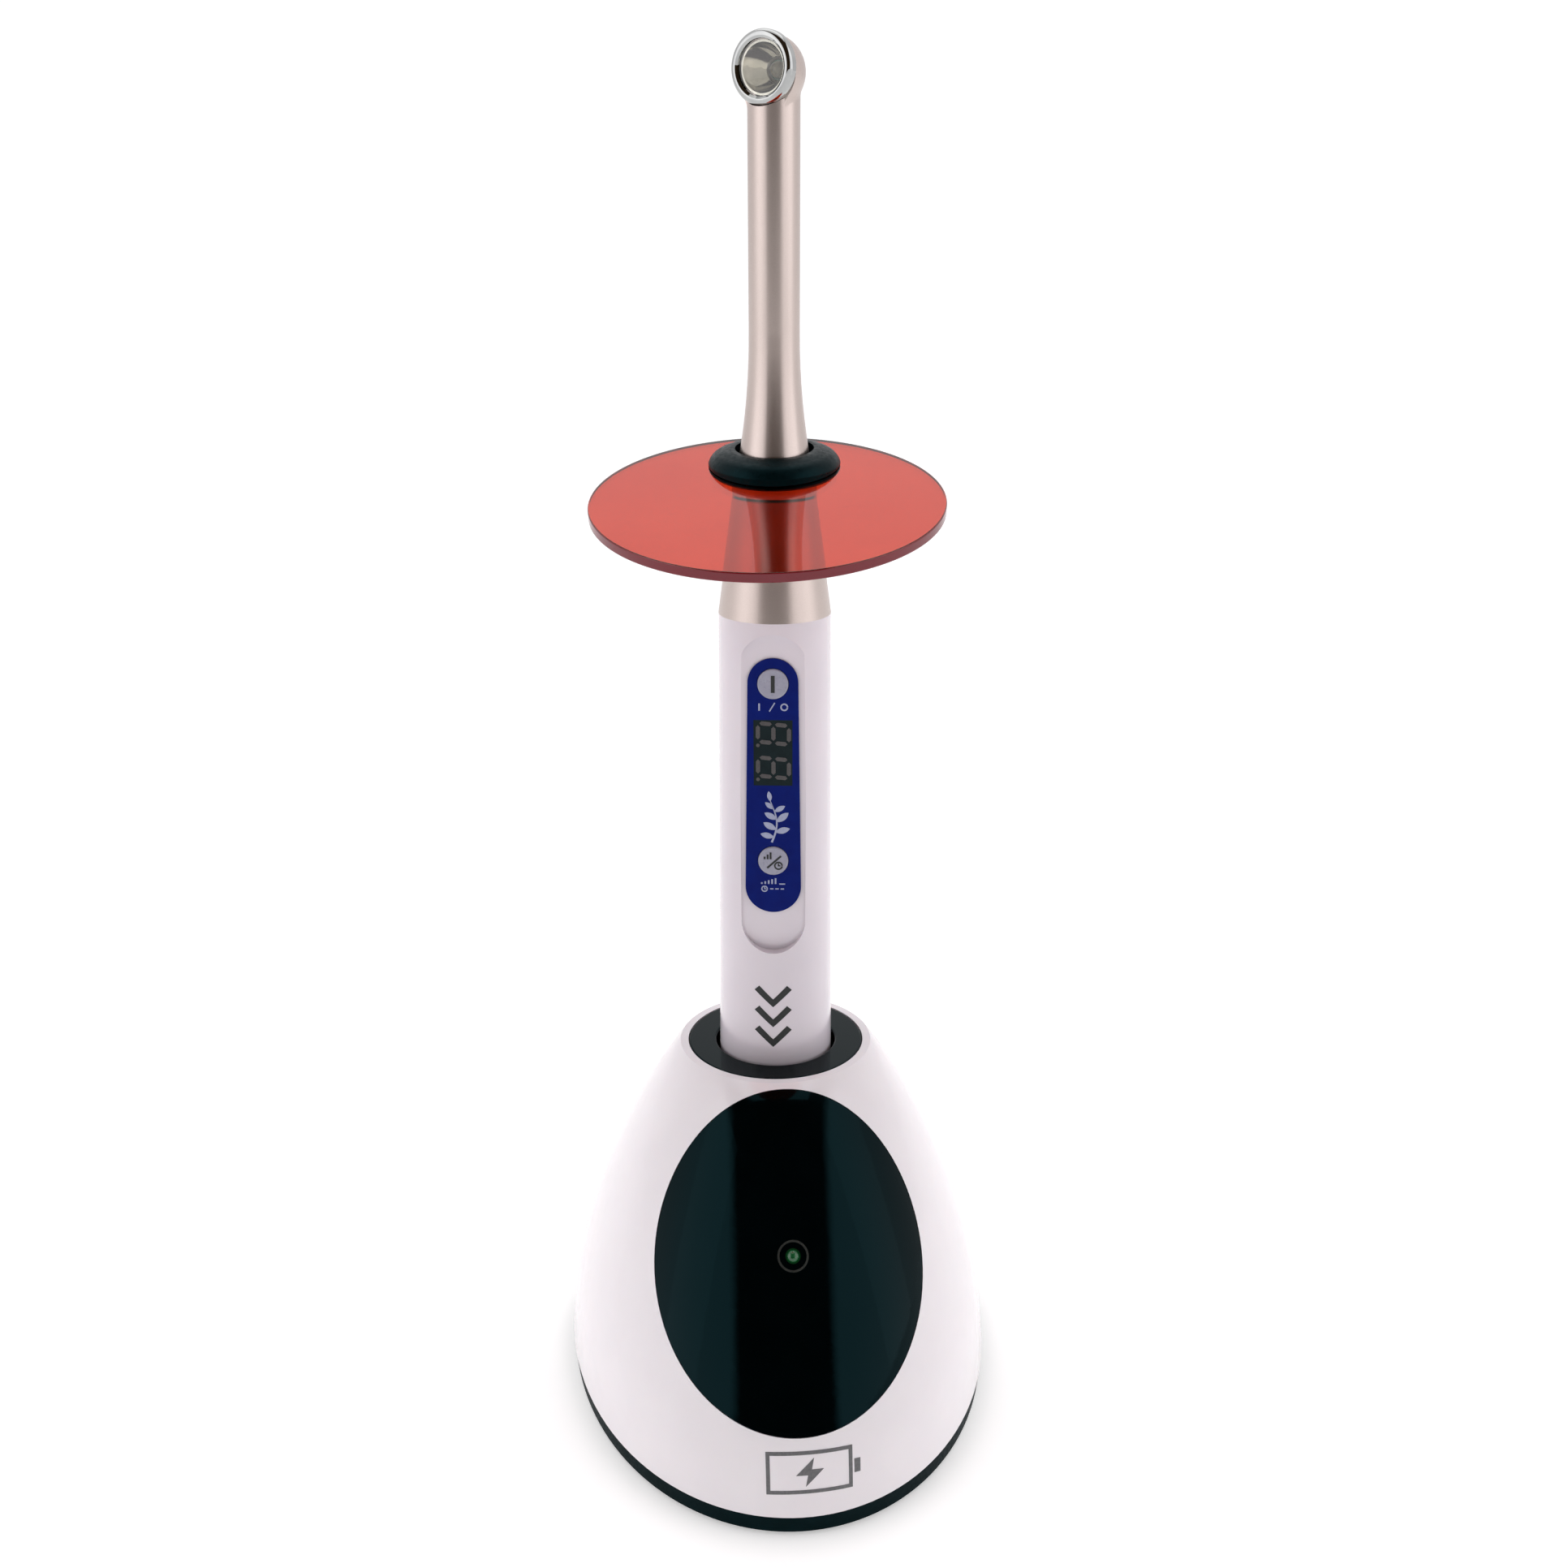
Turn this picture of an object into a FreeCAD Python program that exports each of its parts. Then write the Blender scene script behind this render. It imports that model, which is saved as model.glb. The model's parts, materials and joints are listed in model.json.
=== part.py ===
"""Cordless dental curing light standing in its charging stand, as a parametric FreeCAD document.

Frame: millimetres, +Z up. The origin is on the table under the middle of the stand, and the stand's
front faces -Y. The handpiece, the swivelling head and the shield are each drawn upright about their
own axis, facing -Y, and are turned about that axis by their placements.
"""

import FreeCAD, Part
import Sketcher
import math
import os
import re

from FreeCAD import Placement, Rotation, Vector

DRIVING = {
    # stand
    "stand_height": 78.0,
    "stand_half_width": 49.5,
    "stand_front_reach": 72.0,
    "stand_back_reach": 50.0,
    "stand_top_radius": 22.0,
    "shell_curve": 0.85,
    "shell_wall": 3.2,
    "shell_top_wall": 6.0,
    "seam_gap": 0.2,
    "foot_height": 1.0,
    "foot_radius": 5.0,
    "plate_height": 3.7,
    "plate_inset": 0.4,
    "post_radius": 3.5,
    "ring_edge": 0.4,
    "screw_radius": 1.4,
    "screw_head_radius": 2.8,
    "screw_head_height": 1.6,
    "screw_length": 11.0,
    "ring_radius": 20.1,
    "ring_height": 2.5,
    "socket_clearance": 0.85,
    "socket_depth": 52.0,
    "cup_wall": 1.5,
    "cup_floor": 2.0,
    "cup_flange_height": 1.5,
    "panel_half_width": 29.0,
    "panel_thickness": 1.6,
    "panel_top_drop": 0.8,
    "panel_bottom_drop": 56.3,
    "panel_gap": 0.15,
    "lamp_radius": 1.5,
    "lamp_length": 7.0,
    "lamp_flange": 0.5,
    "lamp_flange_height": 1.0,
    "board_height": 9.0,
    "board_thickness": 1.6,
    "board_half_width": 20.0,
    "board_front": 16.0,
    "board_back_share": 0.77,
    "standoff_radius": 2.6,
    "ballast_height": 8.0,
    "ballast_half_width": 22.5,
    "ballast_length": 26.0,
    "ballast_gap": 4.0,
    "ballast_corner": 3.0,
    "block_radius": 9.0,
    "jack_width": 9.0,
    "jack_tall": 10.4,
    "jack_length": 12.0,
    "jack_nose_radius": 4.4,
    "jack_bore_radius": 2.75,
    "jack_pin_radius": 1.0,
    "jack_pin_length": 9.6,
    "jack_wall_gap": 1.4,
    # charging pins
    "pin_radius": 0.9,
    "pin_travel": 1.0,
    "pin_offset": 6.1,
    "barrel_radius": 1.6,
    "barrel_length": 9.0,
    "barrel_wall": 0.4,
    "spring_wire_radius": 0.14,
    "pin_spring_turns": 6,
    "pin_hole_gap": 0.3,
    "pad_recess": 0.8,
    "pad_thickness": 1.6,
    "pad_radius": 2.5,
    # handpiece
    "handle_tail_radius": 12.85,
    "handle_top_radius": 12.0,
    "handle_length": 152.8,
    "handle_wall": 1.8,
    "cap_height": 4.0,
    "tail_chamfer": 0.8,
    "spigot_length": 5.0,
    "spigot_wall": 2.0,
    "battery_radius": 9.2,
    "battery_length": 65.0,
    "battery_shoulder": 1.0,
    "battery_nub_radius": 3.0,
    "battery_nub_height": 0.8,
    "battery_spring_room": 3.0,
    "battery_spring_wire": 0.35,
    "battery_spring_turns": 4,
    "contact_plate_thickness": 0.6,
    "recess_plane": 10.1,
    "recess_bottom": 78.8,
    "recess_half_width": 7.0,
    "recess_wall": 1.5,
    "recess_top_margin": 2.3,
    "recess_flat_margin": 1.2,
    "overlay_bottom": 87.9,
    "overlay_length": 57.3,
    "overlay_top_width": 10.7,
    "overlay_bottom_width": 12.1,
    "overlay_thickness": 0.4,
    "button_radius": 3.25,
    "button_travel": 0.3,
    "button_proud": 0.35,
    "button_flange": 0.65,
    "button_edge_drop": 0.15,
    "button_edge_width": 0.25,
    "power_height": 139.7,
    "mode_height": 100.0,
    "window_bottom": 117.2,
    "window_length": 14.6,
    "window_width": 8.3,
    "control_board_plane": 5.0,
    "control_board_thickness": 1.0,
    "control_board_width": 15.0,
    "control_board_foot": 5.0,
    "control_board_head": 0.8,
    "switch_width": 6.0,
    "switch_height": 2.2,
    "switch_case_height": 1.54,
    "beeper_radius": 4.5,
    "beeper_height": 4.0,
    # neck
    "cone_length": 23.2,
    "cone_spigot_length": 6.0,
    "cone_spigot_wall": 1.3,
    "cone_top_radius": 8.8,
    "swivel_radius": 5.5,
    "bush_wall": 1.5,
    "bush_length": 8.5,
    "bush_flange": 0.45,
    "bush_rim_margin": 0.5,
    "neck_gap": 0.6,
    "clip_thickness": 1.0,
    "clip_room": 1.2,
    "clip_slit": 2.0,
    "clip_grip": 0.6,
    "clip_play": 0.5,
    "spigot_tail": 2.2,
    "running_clearance": 0.05,
    "fit_gap": 0.1,
    "overcut": 1.0,
    # wand and head
    "collar_length": 3.6,
    "flare_root_radius": 8.4,
    "flare_length": 29.8,
    "wand_radius": 5.175,
    "wand_bore_radius": 3.6,
    "wand_length": 79.0,
    "head_radius": 6.85,
    "head_forward": 1.26,
    "head_drop": 0.6,
    "head_blend": 2.4,
    "bezel_back": 3.0,
    "bezel_front": 5.2,
    "bezel_bead": 1.1,
    "bezel_lip_depth": 0.35,
    "bezel_lip_width": 0.5,
    "head_edge": 0.1,
    "lens_radius": 5.1,
    "lens_thickness": 1.0,
    "lens_edge_depth": 0.6,
    "lens_crown_depth": 0.1,
    "cavity_radius": 4.9,
    "cavity_depth": 2.2,
    "emitter_radius": 1.4,
    "lamp_board_thickness": 0.95,
    "lamp_board_gap": 0.2,
    "bowl_wall": 0.4,
    "bowl_centre": -6.0,
    "wire_radius": 0.5,
    "wire_offset": 1.2,
    "wire_back": 0.6,
    "wire_tail": 4.0,
    "wire_stop": 3.4,
    # shield
    "shield_radius": 35.25,
    "shield_thickness": 2.0,
    "shield_edge": 0.3,
    "shield_offset": 19.7,
    "shield_height": 3.0,
    "waist_radius": 10.0,
    "waist_clearance": 0.15,
    "grommet_radius": 13.65,
    "grommet_rise": 4.1,
    "grommet_bore_radius": 8.1,
    "grommet_bore_gap": 0.25,
    "grommet_collar_gap": 0.3,
    "grommet_under": 0.6,
    "grommet_foot": 4.0,
    "grommet_belly": 2.2,
    "grommet_belly_height": 1.0,
    "grommet_side": 1.2,
    "grommet_brow": 2.6,
    "grommet_brow_drop": 0.5,
    "grommet_crown": 4.6,
    "grommet_dish": 0.3,
    "grommet_belly_centre": -0.2,
    "grommet_side_centre": 0.1,
    "grommet_brow_centre": -3.0,
    # how the pieces are turned
    "handle_yaw": -6.5,
    "head_yaw": -35.5,
    "shield_yaw": -8.4,
    "shield_tilt": 12.9,
    "grommet_tilt": 7.5,
}

DERIVED = {
    "socket_place": "(stand_front_reach - stand_back_reach) / 2",
    "seat_height": "stand_height - socket_depth",
    "plate_top": "foot_height + plate_height",
    "shell_bottom": "plate_top + seam_gap",
    "socket_radius": "handle_tail_radius + socket_clearance",
    "cup_radius": "socket_radius + cup_wall",
    "cup_under": "seat_height - cup_floor",
    "cup_flange_radius": "ring_radius - fit_gap",
    "ring_bottom": "stand_height - ring_height",
    "flange_bottom": "ring_bottom - cup_flange_height",
    "board_top": "board_height + board_thickness",
    "jack_centre": "board_top + jack_tall / 2",
    "pad_face": "seat_height + pad_recess",
    "barrel_top": "cup_under - fit_gap",
    "barrel_bottom": "barrel_top - barrel_length",
    "barrel_bore": "barrel_radius - barrel_wall",
    "pin_flange_radius": "barrel_bore - running_clearance",
    "pin_flange_top": "barrel_top - barrel_wall - pin_travel - fit_gap",
    "pin_flange_bottom": "pin_flange_top - 2 * barrel_wall",
    "pad_top": "pad_recess + pad_thickness",
    "pad_half_ring": "pin_radius + fit_gap",
    "handle_bore": "handle_top_radius - handle_wall",
    "battery_bottom": "cap_height + spigot_length + battery_spring_room",
    "battery_top": "battery_bottom + battery_length",
    "recess_top": "handle_length - recess_top_margin",
    "recess_inner": "recess_plane - recess_wall",
    "overlay_face": "recess_plane + overlay_thickness",
    "overlay_top": "overlay_bottom + overlay_length",
    "button_hole": "button_radius + fit_gap",
    "window_top": "window_bottom + window_length",
    "switch_face": "control_board_plane + switch_height",
    "button_back": "switch_face + button_travel + running_clearance",
    "cone_spigot_bottom": "handle_length - cone_spigot_length",
    "cone_top": "handle_length + cone_length",
    "bush_bore": "swivel_radius + running_clearance",
    "bush_radius": "swivel_radius + bush_wall",
    "bush_seat": "bush_radius + running_clearance",
    "bush_bottom": "cone_top - bush_length",
    "clip_top": "bush_bottom - clip_gap",
    "clip_gap": "8 * fit_gap",
    "clip_bottom": "clip_top - clip_thickness",
    "clip_groove": "swivel_radius - clip_grip",
    "clip_radius": "bush_radius - clip_play",
    "spigot_end": "clip_bottom - spigot_tail",
    "collar_bottom": "cone_top + neck_gap",
    "collar_top": "collar_bottom + collar_length",
    "flare_top": "collar_top + flare_length",
    "lens_height": "collar_top + wand_length",
    "head_height": "lens_height - head_drop",
    "shield_centre": "collar_top + shield_height",
    "lamp_board_face": "cavity_depth - running_clearance - lamp_board_thickness",
    "lens_back": "-bezel_front + lens_edge_depth + lens_thickness",
    "bowl_rim": "lens_back + running_clearance",
    "bowl_foot": "lamp_board_face - fit_gap",
    "disc_hole": "waist_radius + waist_clearance",
    "disc_slot": "shield_thickness / 2 + waist_clearance",
}

doc = FreeCAD.newDocument("CuringLight")
sheet = doc.addObject("Spreadsheet::Sheet", "Sizes")
for row, (alias, number) in enumerate(DRIVING.items(), start=1):
    sheet.set(f"A{row}", alias)
    sheet.set(f"B{row}", str(number))
    sheet.setAlias(f"B{row}", alias)
doc.recompute()

parts = []


# ---------------------------------------------------------------- formulas and helpers

def formula(text):
    """Write derived names out in full and point each driving name at its spreadsheet cell."""

    def swap(match):
        name = match.group(0)
        if name in DERIVED:
            return "(" + formula(DERIVED[name]) + ")"
        if name in DRIVING:
            return "Sizes." + name
        return name

    return re.sub(r"[a-z][a-z_]*", swap, str(text))


def value(text):
    """The number that a formula gives now."""
    return float(sheet.evalExpression(formula(text)))


def bind(feature, **sizes):
    """Tie properties of a feature to formulas."""
    for name, text in sizes.items():
        feature.setExpression(name, formula(text))


def reach(height, lower_reach):
    """Formula for how far the stand's skin stands from the socket axis at a height."""
    turn = f"90 deg * (stand_height - ({height})) / stand_height"
    return (f"(stand_top_radius + ({lower_reach} - stand_top_radius)"
            f" * pow(sin({turn}); shell_curve))")


def place(x=0.0, y=0.0, z=0.0, rotation=None):
    return Placement(Vector(x, y, z), rotation or Rotation())


def spin(axis, degrees):
    return Rotation(Vector(*axis), degrees)


def socket_frame(yaw):
    """Placement of a piece drawn about the handpiece's axis, from its tail up."""
    turned = spin((0, 0, 1), value(yaw))
    return place(0, value("socket_place"), value("seat_height"), turned)


def keep(label, feature, placement=None):
    """Name a finished sub-part, place it and put it on the list to be written."""
    feature.Label = label
    if placement is not None:
        feature.Placement = placement
    parts.append(feature)
    return feature


def new_body(name):
    return doc.addObject("PartDesign::Body", name)


def new_sketch(body, plane, **offset):
    """A sketch on one of the body's origin planes; offset binds AttachmentOffset x, y or z."""
    sketch = body.newObject("Sketcher::SketchObject", body.Name + "_sketch")
    for feature in body.Origin.OriginFeatures:
        if feature.Role == plane:
            sketch.AttachmentSupport = [(feature, "")]
    sketch.MapMode = "FlatFace"
    for direction, text in offset.items():
        sketch.setExpression("AttachmentOffset.Base." + direction, formula(text))
    return sketch


def pin_point(sketch, geometry, position, x_text, y_text):
    """Fix one point of a sketch by formulas measured from its origin."""
    for kind, text in (("DistanceX", x_text), ("DistanceY", y_text)):
        index = sketch.addConstraint(
            Sketcher.Constraint(kind, -1, 1, geometry, position, value(text)))
        sketch.setExpression(f"Constraints[{index}]", formula(text))


def arc_between(start, end, centre_x, centre_y, turn):
    """Arc from start to end, anticlockwise when turn is +1, with one centre coordinate given."""
    middle = (start + end) / 2
    chord = end - start
    if centre_x is None:
        centre_x = middle.x - (centre_y - middle.y) * chord.y / chord.x
    else:
        centre_y = middle.y - (centre_x - middle.x) * chord.x / chord.y
    centre = Vector(centre_x, centre_y, 0)
    radius = start.distanceToPoint(centre)
    first = math.atan2(start.y - centre.y, start.x - centre.x)
    last = math.atan2(end.y - centre.y, end.x - centre.x)
    sweep = (last - first) * turn % (2 * math.pi)
    halfway = first + turn * sweep / 2
    on_arc = centre + Vector(math.cos(halfway), math.sin(halfway), 0) * radius
    return Part.Arc(start, on_arc, end)


def outline(sketch, corners):
    """Closed outline through corners (x, y) or (x, y, bend).

    A bend makes the edge from this corner to the next an arc: ("x" or "y", formula, turn) gives one
    coordinate of its centre and its sense, +1 for anticlockwise.
    """
    points = [Vector(value(corner[0]), value(corner[1]), 0) for corner in corners]
    edges = []
    for index, corner in enumerate(corners):
        start = points[index]
        end = points[(index + 1) % len(points)]
        if len(corner) == 2:
            number = sketch.addGeometry(Part.LineSegment(start, end), False)
            edges.append((number, 1, 2))
            continue
        direction, centre_text, turn = corner[2]
        centre = value(centre_text)
        along_x = direction == "x"
        arc = arc_between(start, end, centre if along_x else None, None if along_x else centre, turn)
        number = sketch.addGeometry(arc, False)
        edges.append((number, 1, 2) if turn > 0 else (number, 2, 1))
        kind = "DistanceX" if along_x else "DistanceY"
        held = sketch.addConstraint(Sketcher.Constraint(kind, -1, 1, number, 3, centre))
        sketch.setExpression(f"Constraints[{held}]", formula(centre_text))
    for index, corner in enumerate(corners):
        number, first, last = edges[index]
        pin_point(sketch, number, first, corner[0], corner[1])
        following = edges[(index + 1) % len(edges)]
        sketch.addConstraint(Sketcher.Constraint("Coincident", number, last, following[0], following[1]))


def circle(sketch, radius, x_text="0", y_text="0"):
    """Circle of a bound radius and centre."""
    centre = Vector(value(x_text), value(y_text), 0)
    number = sketch.addGeometry(Part.Circle(centre, Vector(0, 0, 1), value(radius)), False)
    held = sketch.addConstraint(Sketcher.Constraint("Radius", number, value(radius)))
    sketch.setExpression(f"Constraints[{held}]", formula(radius))
    pin_point(sketch, number, 3, x_text, y_text)


def rectangle(sketch, left, bottom, right, top):
    outline(sketch, [(left, bottom), (right, bottom), (right, top), (left, top)])


def turned(name, corners, plane="XZ_Plane", **offset):
    """Body turned about its sketch's upright axis: Z in the XZ plane, Y in the XY plane."""
    body = new_body(name)
    sketch = new_sketch(body, plane, **offset)
    outline(sketch, corners)
    feature = body.newObject("PartDesign::Revolution", name + "_turned")
    feature.Profile = sketch
    feature.ReferenceAxis = (sketch, ["V_Axis"])
    feature.Angle = 360
    sketch.Visibility = False
    return body


def padded(name, draw, length, plane="XY_Plane", **offset):
    """Body pushed out from a sketch; on the XZ plane it grows towards the front, -Y."""
    body = new_body(name)
    sketch = new_sketch(body, plane, **offset)
    draw(sketch)
    feature = body.newObject("PartDesign::Pad", name + "_pad")
    feature.Profile = sketch
    bind(feature, Length=length)
    return body


def cylinder(name, radius, height, x="0", y="0", z="0", rotation=None):
    feature = doc.addObject("Part::Cylinder", name)
    bind(feature, Radius=radius, Height=height)
    feature.Placement = place(value(x), value(y), value(z), rotation)
    return feature


def box(name, x_size, y_size, z_size, x, y, z):
    """Box with its low corner at x, y, z."""
    feature = doc.addObject("Part::Box", name)
    bind(feature, Length=x_size, Width=y_size, Height=z_size)
    feature.Placement = place(value(x), value(y), value(z))
    return feature


def cut(name, base, *tools):
    """Base with tools taken away one after another, each checked to have taken something."""
    left = base
    for number, tool in enumerate(tools, 1):
        feature = doc.addObject("Part::Cut", f"{name}_{number}")
        feature.Base = left
        feature.Tool = tool
        doc.recompute()
        if not 0 < feature.Shape.Volume < left.Shape.Volume:
            raise ValueError(f"{feature.Name}: {tool.Name} took nothing or everything away")
        left = feature
    return left


def fuse(name, *solids):
    feature = doc.addObject("Part::MultiFuse", name)
    feature.Shapes = list(solids)
    return feature


def common(name, base, tool):
    feature = doc.addObject("Part::Common", name)
    feature.Base = base
    feature.Tool = tool
    return feature


def group(name, *solids):
    """Separate solids kept together as one object."""
    feature = doc.addObject("Part::Compound", name)
    feature.Links = list(solids)
    return feature


def solid(name, shape):
    """A shape made in code that another feature uses."""
    feature = doc.addObject("Part::Feature", name)
    feature.Shape = shape
    return feature


def rounded(body, size, wanted):
    """Fillet the edges of a body that a test picks."""
    doc.recompute()
    base = body.Tip
    names = [f"Edge{number}" for number, edge in enumerate(base.Shape.Edges, 1) if wanted(edge)]
    fillet = body.newObject("PartDesign::Fillet", body.Name + "_fillet")
    fillet.Base = (base, names)
    bind(fillet, Radius=size)
    return body


def coil(label, radius, wire, bottom, top, turns, frame):
    """Compression spring in a frame: a wire swept along a helix from one height to another."""
    low = value(bottom) + value(wire)
    rise = value(top) - value(wire) - low
    path = Part.makeLongHelix(rise / value(turns), rise, value(radius))
    ring = Part.makeCircle(value(wire), Vector(value(radius), 0, 0), Vector(0, 1, 0))
    spring = solid(label, Part.Wire(path.Edges).makePipeShell([Part.Wire(ring)], True, True))
    return keep(label, spring, frame.multiply(place(z=low)))


# ---------------------------------------------------------------- the stand's egg-shaped skin

EGG_POINTS = 36
SKIN_SECTIONS = 11
SECTION_BUNCHING = 1.7
SEAM_TURN = 0.25
NEAR = 0.05


def egg_wire(height, inset):
    """Level section of the skin: an egg about the socket axis, wide at it and long to the front."""
    wide = value(reach(height, "stand_half_width")) - inset
    front = value(reach(height, "stand_front_reach")) - inset
    back = value(reach(height, "stand_back_reach")) - inset
    axis_y = value("socket_place")
    points = []
    for index in range(EGG_POINTS):
        angle = 2 * math.pi * (index / EGG_POINTS + SEAM_TURN)
        along = math.cos(angle)
        depth = front if along > 0 else back
        points.append(Vector(wide * math.sin(angle), axis_y - depth * along, height))
    curve = Part.BSplineCurve()
    curve.interpolate(points, PeriodicFlag=True)
    return Part.Wire(curve.toShape())


def egg_solid(name, bottom, top, inset):
    """Skin from one height to another, drawn in by an inset; sections bunch towards the crown."""
    low = value(bottom)
    high = value(top)
    wires = []
    for index in range(SKIN_SECTIONS):
        share = (index / (SKIN_SECTIONS - 1)) ** SECTION_BUNCHING
        wires.append(egg_wire(high - (high - low) * share, value(inset)))
    return solid(name, Part.makeLoft(wires, True, False))


def panel_direction():
    """Middle of the oval panel's chord, and the angle of its normal above the level."""
    axis_y = value("socket_place")
    top = value("stand_height - panel_top_drop")
    bottom = value("stand_height - panel_bottom_drop")
    top_y = axis_y - value(reach(top, "stand_front_reach"))
    bottom_y = axis_y - value(reach(bottom, "stand_front_reach"))
    middle = Vector(0, (top_y + bottom_y) / 2, (top + bottom) / 2)
    half_length = math.hypot(top_y - bottom_y, top - bottom) / 2
    return middle, half_length, math.atan2(top_y - bottom_y, top - bottom)


def oval_prism(name, margin):
    """Oval column through the front of the skin, square to the panel."""
    middle, half_length, lean = panel_direction()
    high = half_length + margin
    wide = value("panel_half_width") + margin
    oval = Part.Ellipse(Vector(0, 0, 0), high, wide).toShape()
    face = Part.Face(Part.Wire(oval))
    inward = wide
    outward = value("stand_front_reach") - value("stand_top_radius")
    column = face.extrude(Vector(0, 0, inward + outward))
    column.translate(Vector(0, 0, -inward))
    column.rotate(Vector(0, 0, 0), Vector(0, 0, 1), 90)
    column.rotate(Vector(0, 0, 0), Vector(1, 0, 0), 90 - math.degrees(lean))
    column.translate(middle)
    return solid(name, column)


def lamp_frame(depth):
    """Placement on the panel's skin at its middle, Z along the panel's normal, sunk by a depth."""
    middle, _, lean = panel_direction()
    outward = Vector(0, -math.cos(lean), math.sin(lean))
    step = 0.02
    crown = 0.0
    while True:
        point = middle + outward * (crown + step)
        skin = value("socket_place") - value(reach(point.z, "stand_front_reach"))
        if point.y < skin:
            break
        crown += step
    spot = middle + outward * (crown - depth)
    return place(spot.x, spot.y, spot.z, spin((1, 0, 0), 90 - math.degrees(lean)))


# ---------------------------------------------------------------- the stand's pieces

# Fixings as shares of the half width and of the reach from the socket: minus is left or in front.
SCREW_SPOTS = ((-0.566, 0.44), (0.566, 0.44), (-0.566, -0.417), (0.566, -0.417))
FOOT_SPOTS = ((-0.404, 0.72), (0.404, 0.72), (-0.485, -0.667), (0.485, -0.667))
STANDOFF_SPOTS = ((-0.323, 0.68), (0.323, 0.68), (-0.323, -0.167), (0.323, -0.167))


def spot_texts(spot):
    """Formulas for a fixing's place, which keeps its share of the footprint."""
    across, behind = spot
    depth = "stand_front_reach" if behind < 0 else "stand_back_reach"
    return f"stand_half_width * {across}", f"socket_place + {depth} * {behind}"


def at_spots(name, spots, radius, height, z):
    """One cylinder at each spot of a pattern."""
    found = []
    for number, spot in enumerate(spots, 1):
        x_text, y_text = spot_texts(spot)
        found.append(cylinder(f"{name}_{number}", radius, height, x_text, y_text, z))
    return found


def stand_shell():
    """White shell with the socket hole, the panel's recess, screw posts and jack and lamp holes."""
    outer = egg_solid("shell_outer", "shell_bottom", "stand_height", "0")
    inner = egg_solid("shell_inner", "shell_bottom - overcut", "stand_height - shell_top_wall",
                      "shell_wall")
    sunk = egg_solid("recess_inner_skin", "shell_bottom", "stand_height", "panel_thickness + fit_gap")
    recess = cut("panel_recess", oval_prism("recess_column", value("panel_gap")), sunk)
    axis_y = "socket_place"
    seat = cylinder("ring_seat", "ring_radius + fit_gap", "stand_height - flange_bottom + overcut",
                    y=axis_y, z="flange_bottom")
    throat = cylinder("cup_throat", "cup_radius + fit_gap", "stand_height", y=axis_y, z="cup_under")
    nose = cylinder("jack_hole", "jack_nose_radius + fit_gap", "stand_back_reach",
                    y=axis_y, z="jack_centre", rotation=spin((1, 0, 0), -90))
    lamp = cylinder("lamp_hole", "lamp_radius + fit_gap", "lamp_length * 2")
    lamp.Placement = lamp_frame(value("lamp_length"))
    hollow = cut("shell_hollow", outer, inner, recess, seat, throat, nose, lamp)
    posts = group("post_columns", *at_spots("post", SCREW_SPOTS, "post_radius",
                                            "stand_height - shell_bottom", "shell_bottom"))
    held = common("post_shapes", posts, egg_solid("post_limit", "shell_bottom", "stand_height",
                                                  "shell_wall / 2"))
    body = fuse("shell_with_posts", hollow, held)
    pilots = at_spots("pilot", SCREW_SPOTS, "screw_radius + running_clearance / 2",
                      "screw_length", "shell_bottom - fit_gap")
    keep("stand_shell", cut("shell_finished", body, *pilots))


def front_panel():
    """Glossy oval inlay that follows the skin, with the charge lamp's hole."""
    outer = egg_solid("panel_outer", "shell_bottom", "stand_height", "0")
    inner = egg_solid("panel_inner", "shell_bottom", "stand_height", "panel_thickness")
    skin = cut("panel_skin", outer, inner)
    blank = common("panel_blank", oval_prism("panel_column", 0.0), skin)
    hole = cylinder("panel_lamp_hole", "lamp_radius + fit_gap", "lamp_length * 2")
    hole.Placement = lamp_frame(value("lamp_length"))
    keep("front_panel", cut("panel_drilled", blank, hole))


def charge_lamp():
    """Round-topped light that shows in the panel's hole, with its collar behind the shell wall."""
    body = turned("charge_lamp_body", [
        ("0", "0"),
        ("lamp_radius + lamp_flange", "0"),
        ("lamp_radius + lamp_flange", "lamp_flange_height"),
        ("lamp_radius", "lamp_flange_height"),
        ("lamp_radius", "lamp_length - lamp_radius", ("y", "lamp_length - lamp_radius", 1)),
        ("0", "lamp_length"),
    ])
    keep("charge_lamp", body, lamp_frame(value("lamp_length - lamp_radius / 3")))


def base_plate():
    """Black plate that closes the shell, with screw holes and the board's standoffs."""
    wire = egg_wire(value("shell_bottom"), value("plate_inset"))
    wire.translate(Vector(0, 0, value("foot_height - shell_bottom")))
    slab = solid("plate_slab", Part.Face(wire).extrude(Vector(0, 0, value("plate_height"))))
    standoffs = at_spots("standoff", STANDOFF_SPOTS, "standoff_radius",
                         "board_height - plate_top + fit_gap", "plate_top - fit_gap")
    blank = fuse("plate_blank", slab, *standoffs)
    heads = at_spots("screw_sink", SCREW_SPOTS, "screw_head_radius + 3 * fit_gap",
                     "foot_height + screw_head_height", "0")
    holes = at_spots("screw_way", SCREW_SPOTS, "screw_radius + fit_gap", "plate_top + overcut",
                     "0")
    keep("base_plate", cut("plate_finished", blank, *heads, *holes))


def base_screws():
    """Four pan-head screws, driven up through the plate into the shell's posts."""
    shanks = at_spots("screw_shank", SCREW_SPOTS, "screw_radius",
                      "screw_length + fit_gap", "foot_height + screw_head_height - fit_gap")
    heads = at_spots("screw_head", SCREW_SPOTS, "screw_head_radius", "screw_head_height",
                     "foot_height")
    screws = [fuse(f"base_screw_{number}", shank, head)
              for number, (shank, head) in enumerate(zip(shanks, heads), 1)]
    keep("base_screws", group("base_screw_set", *screws))


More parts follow.
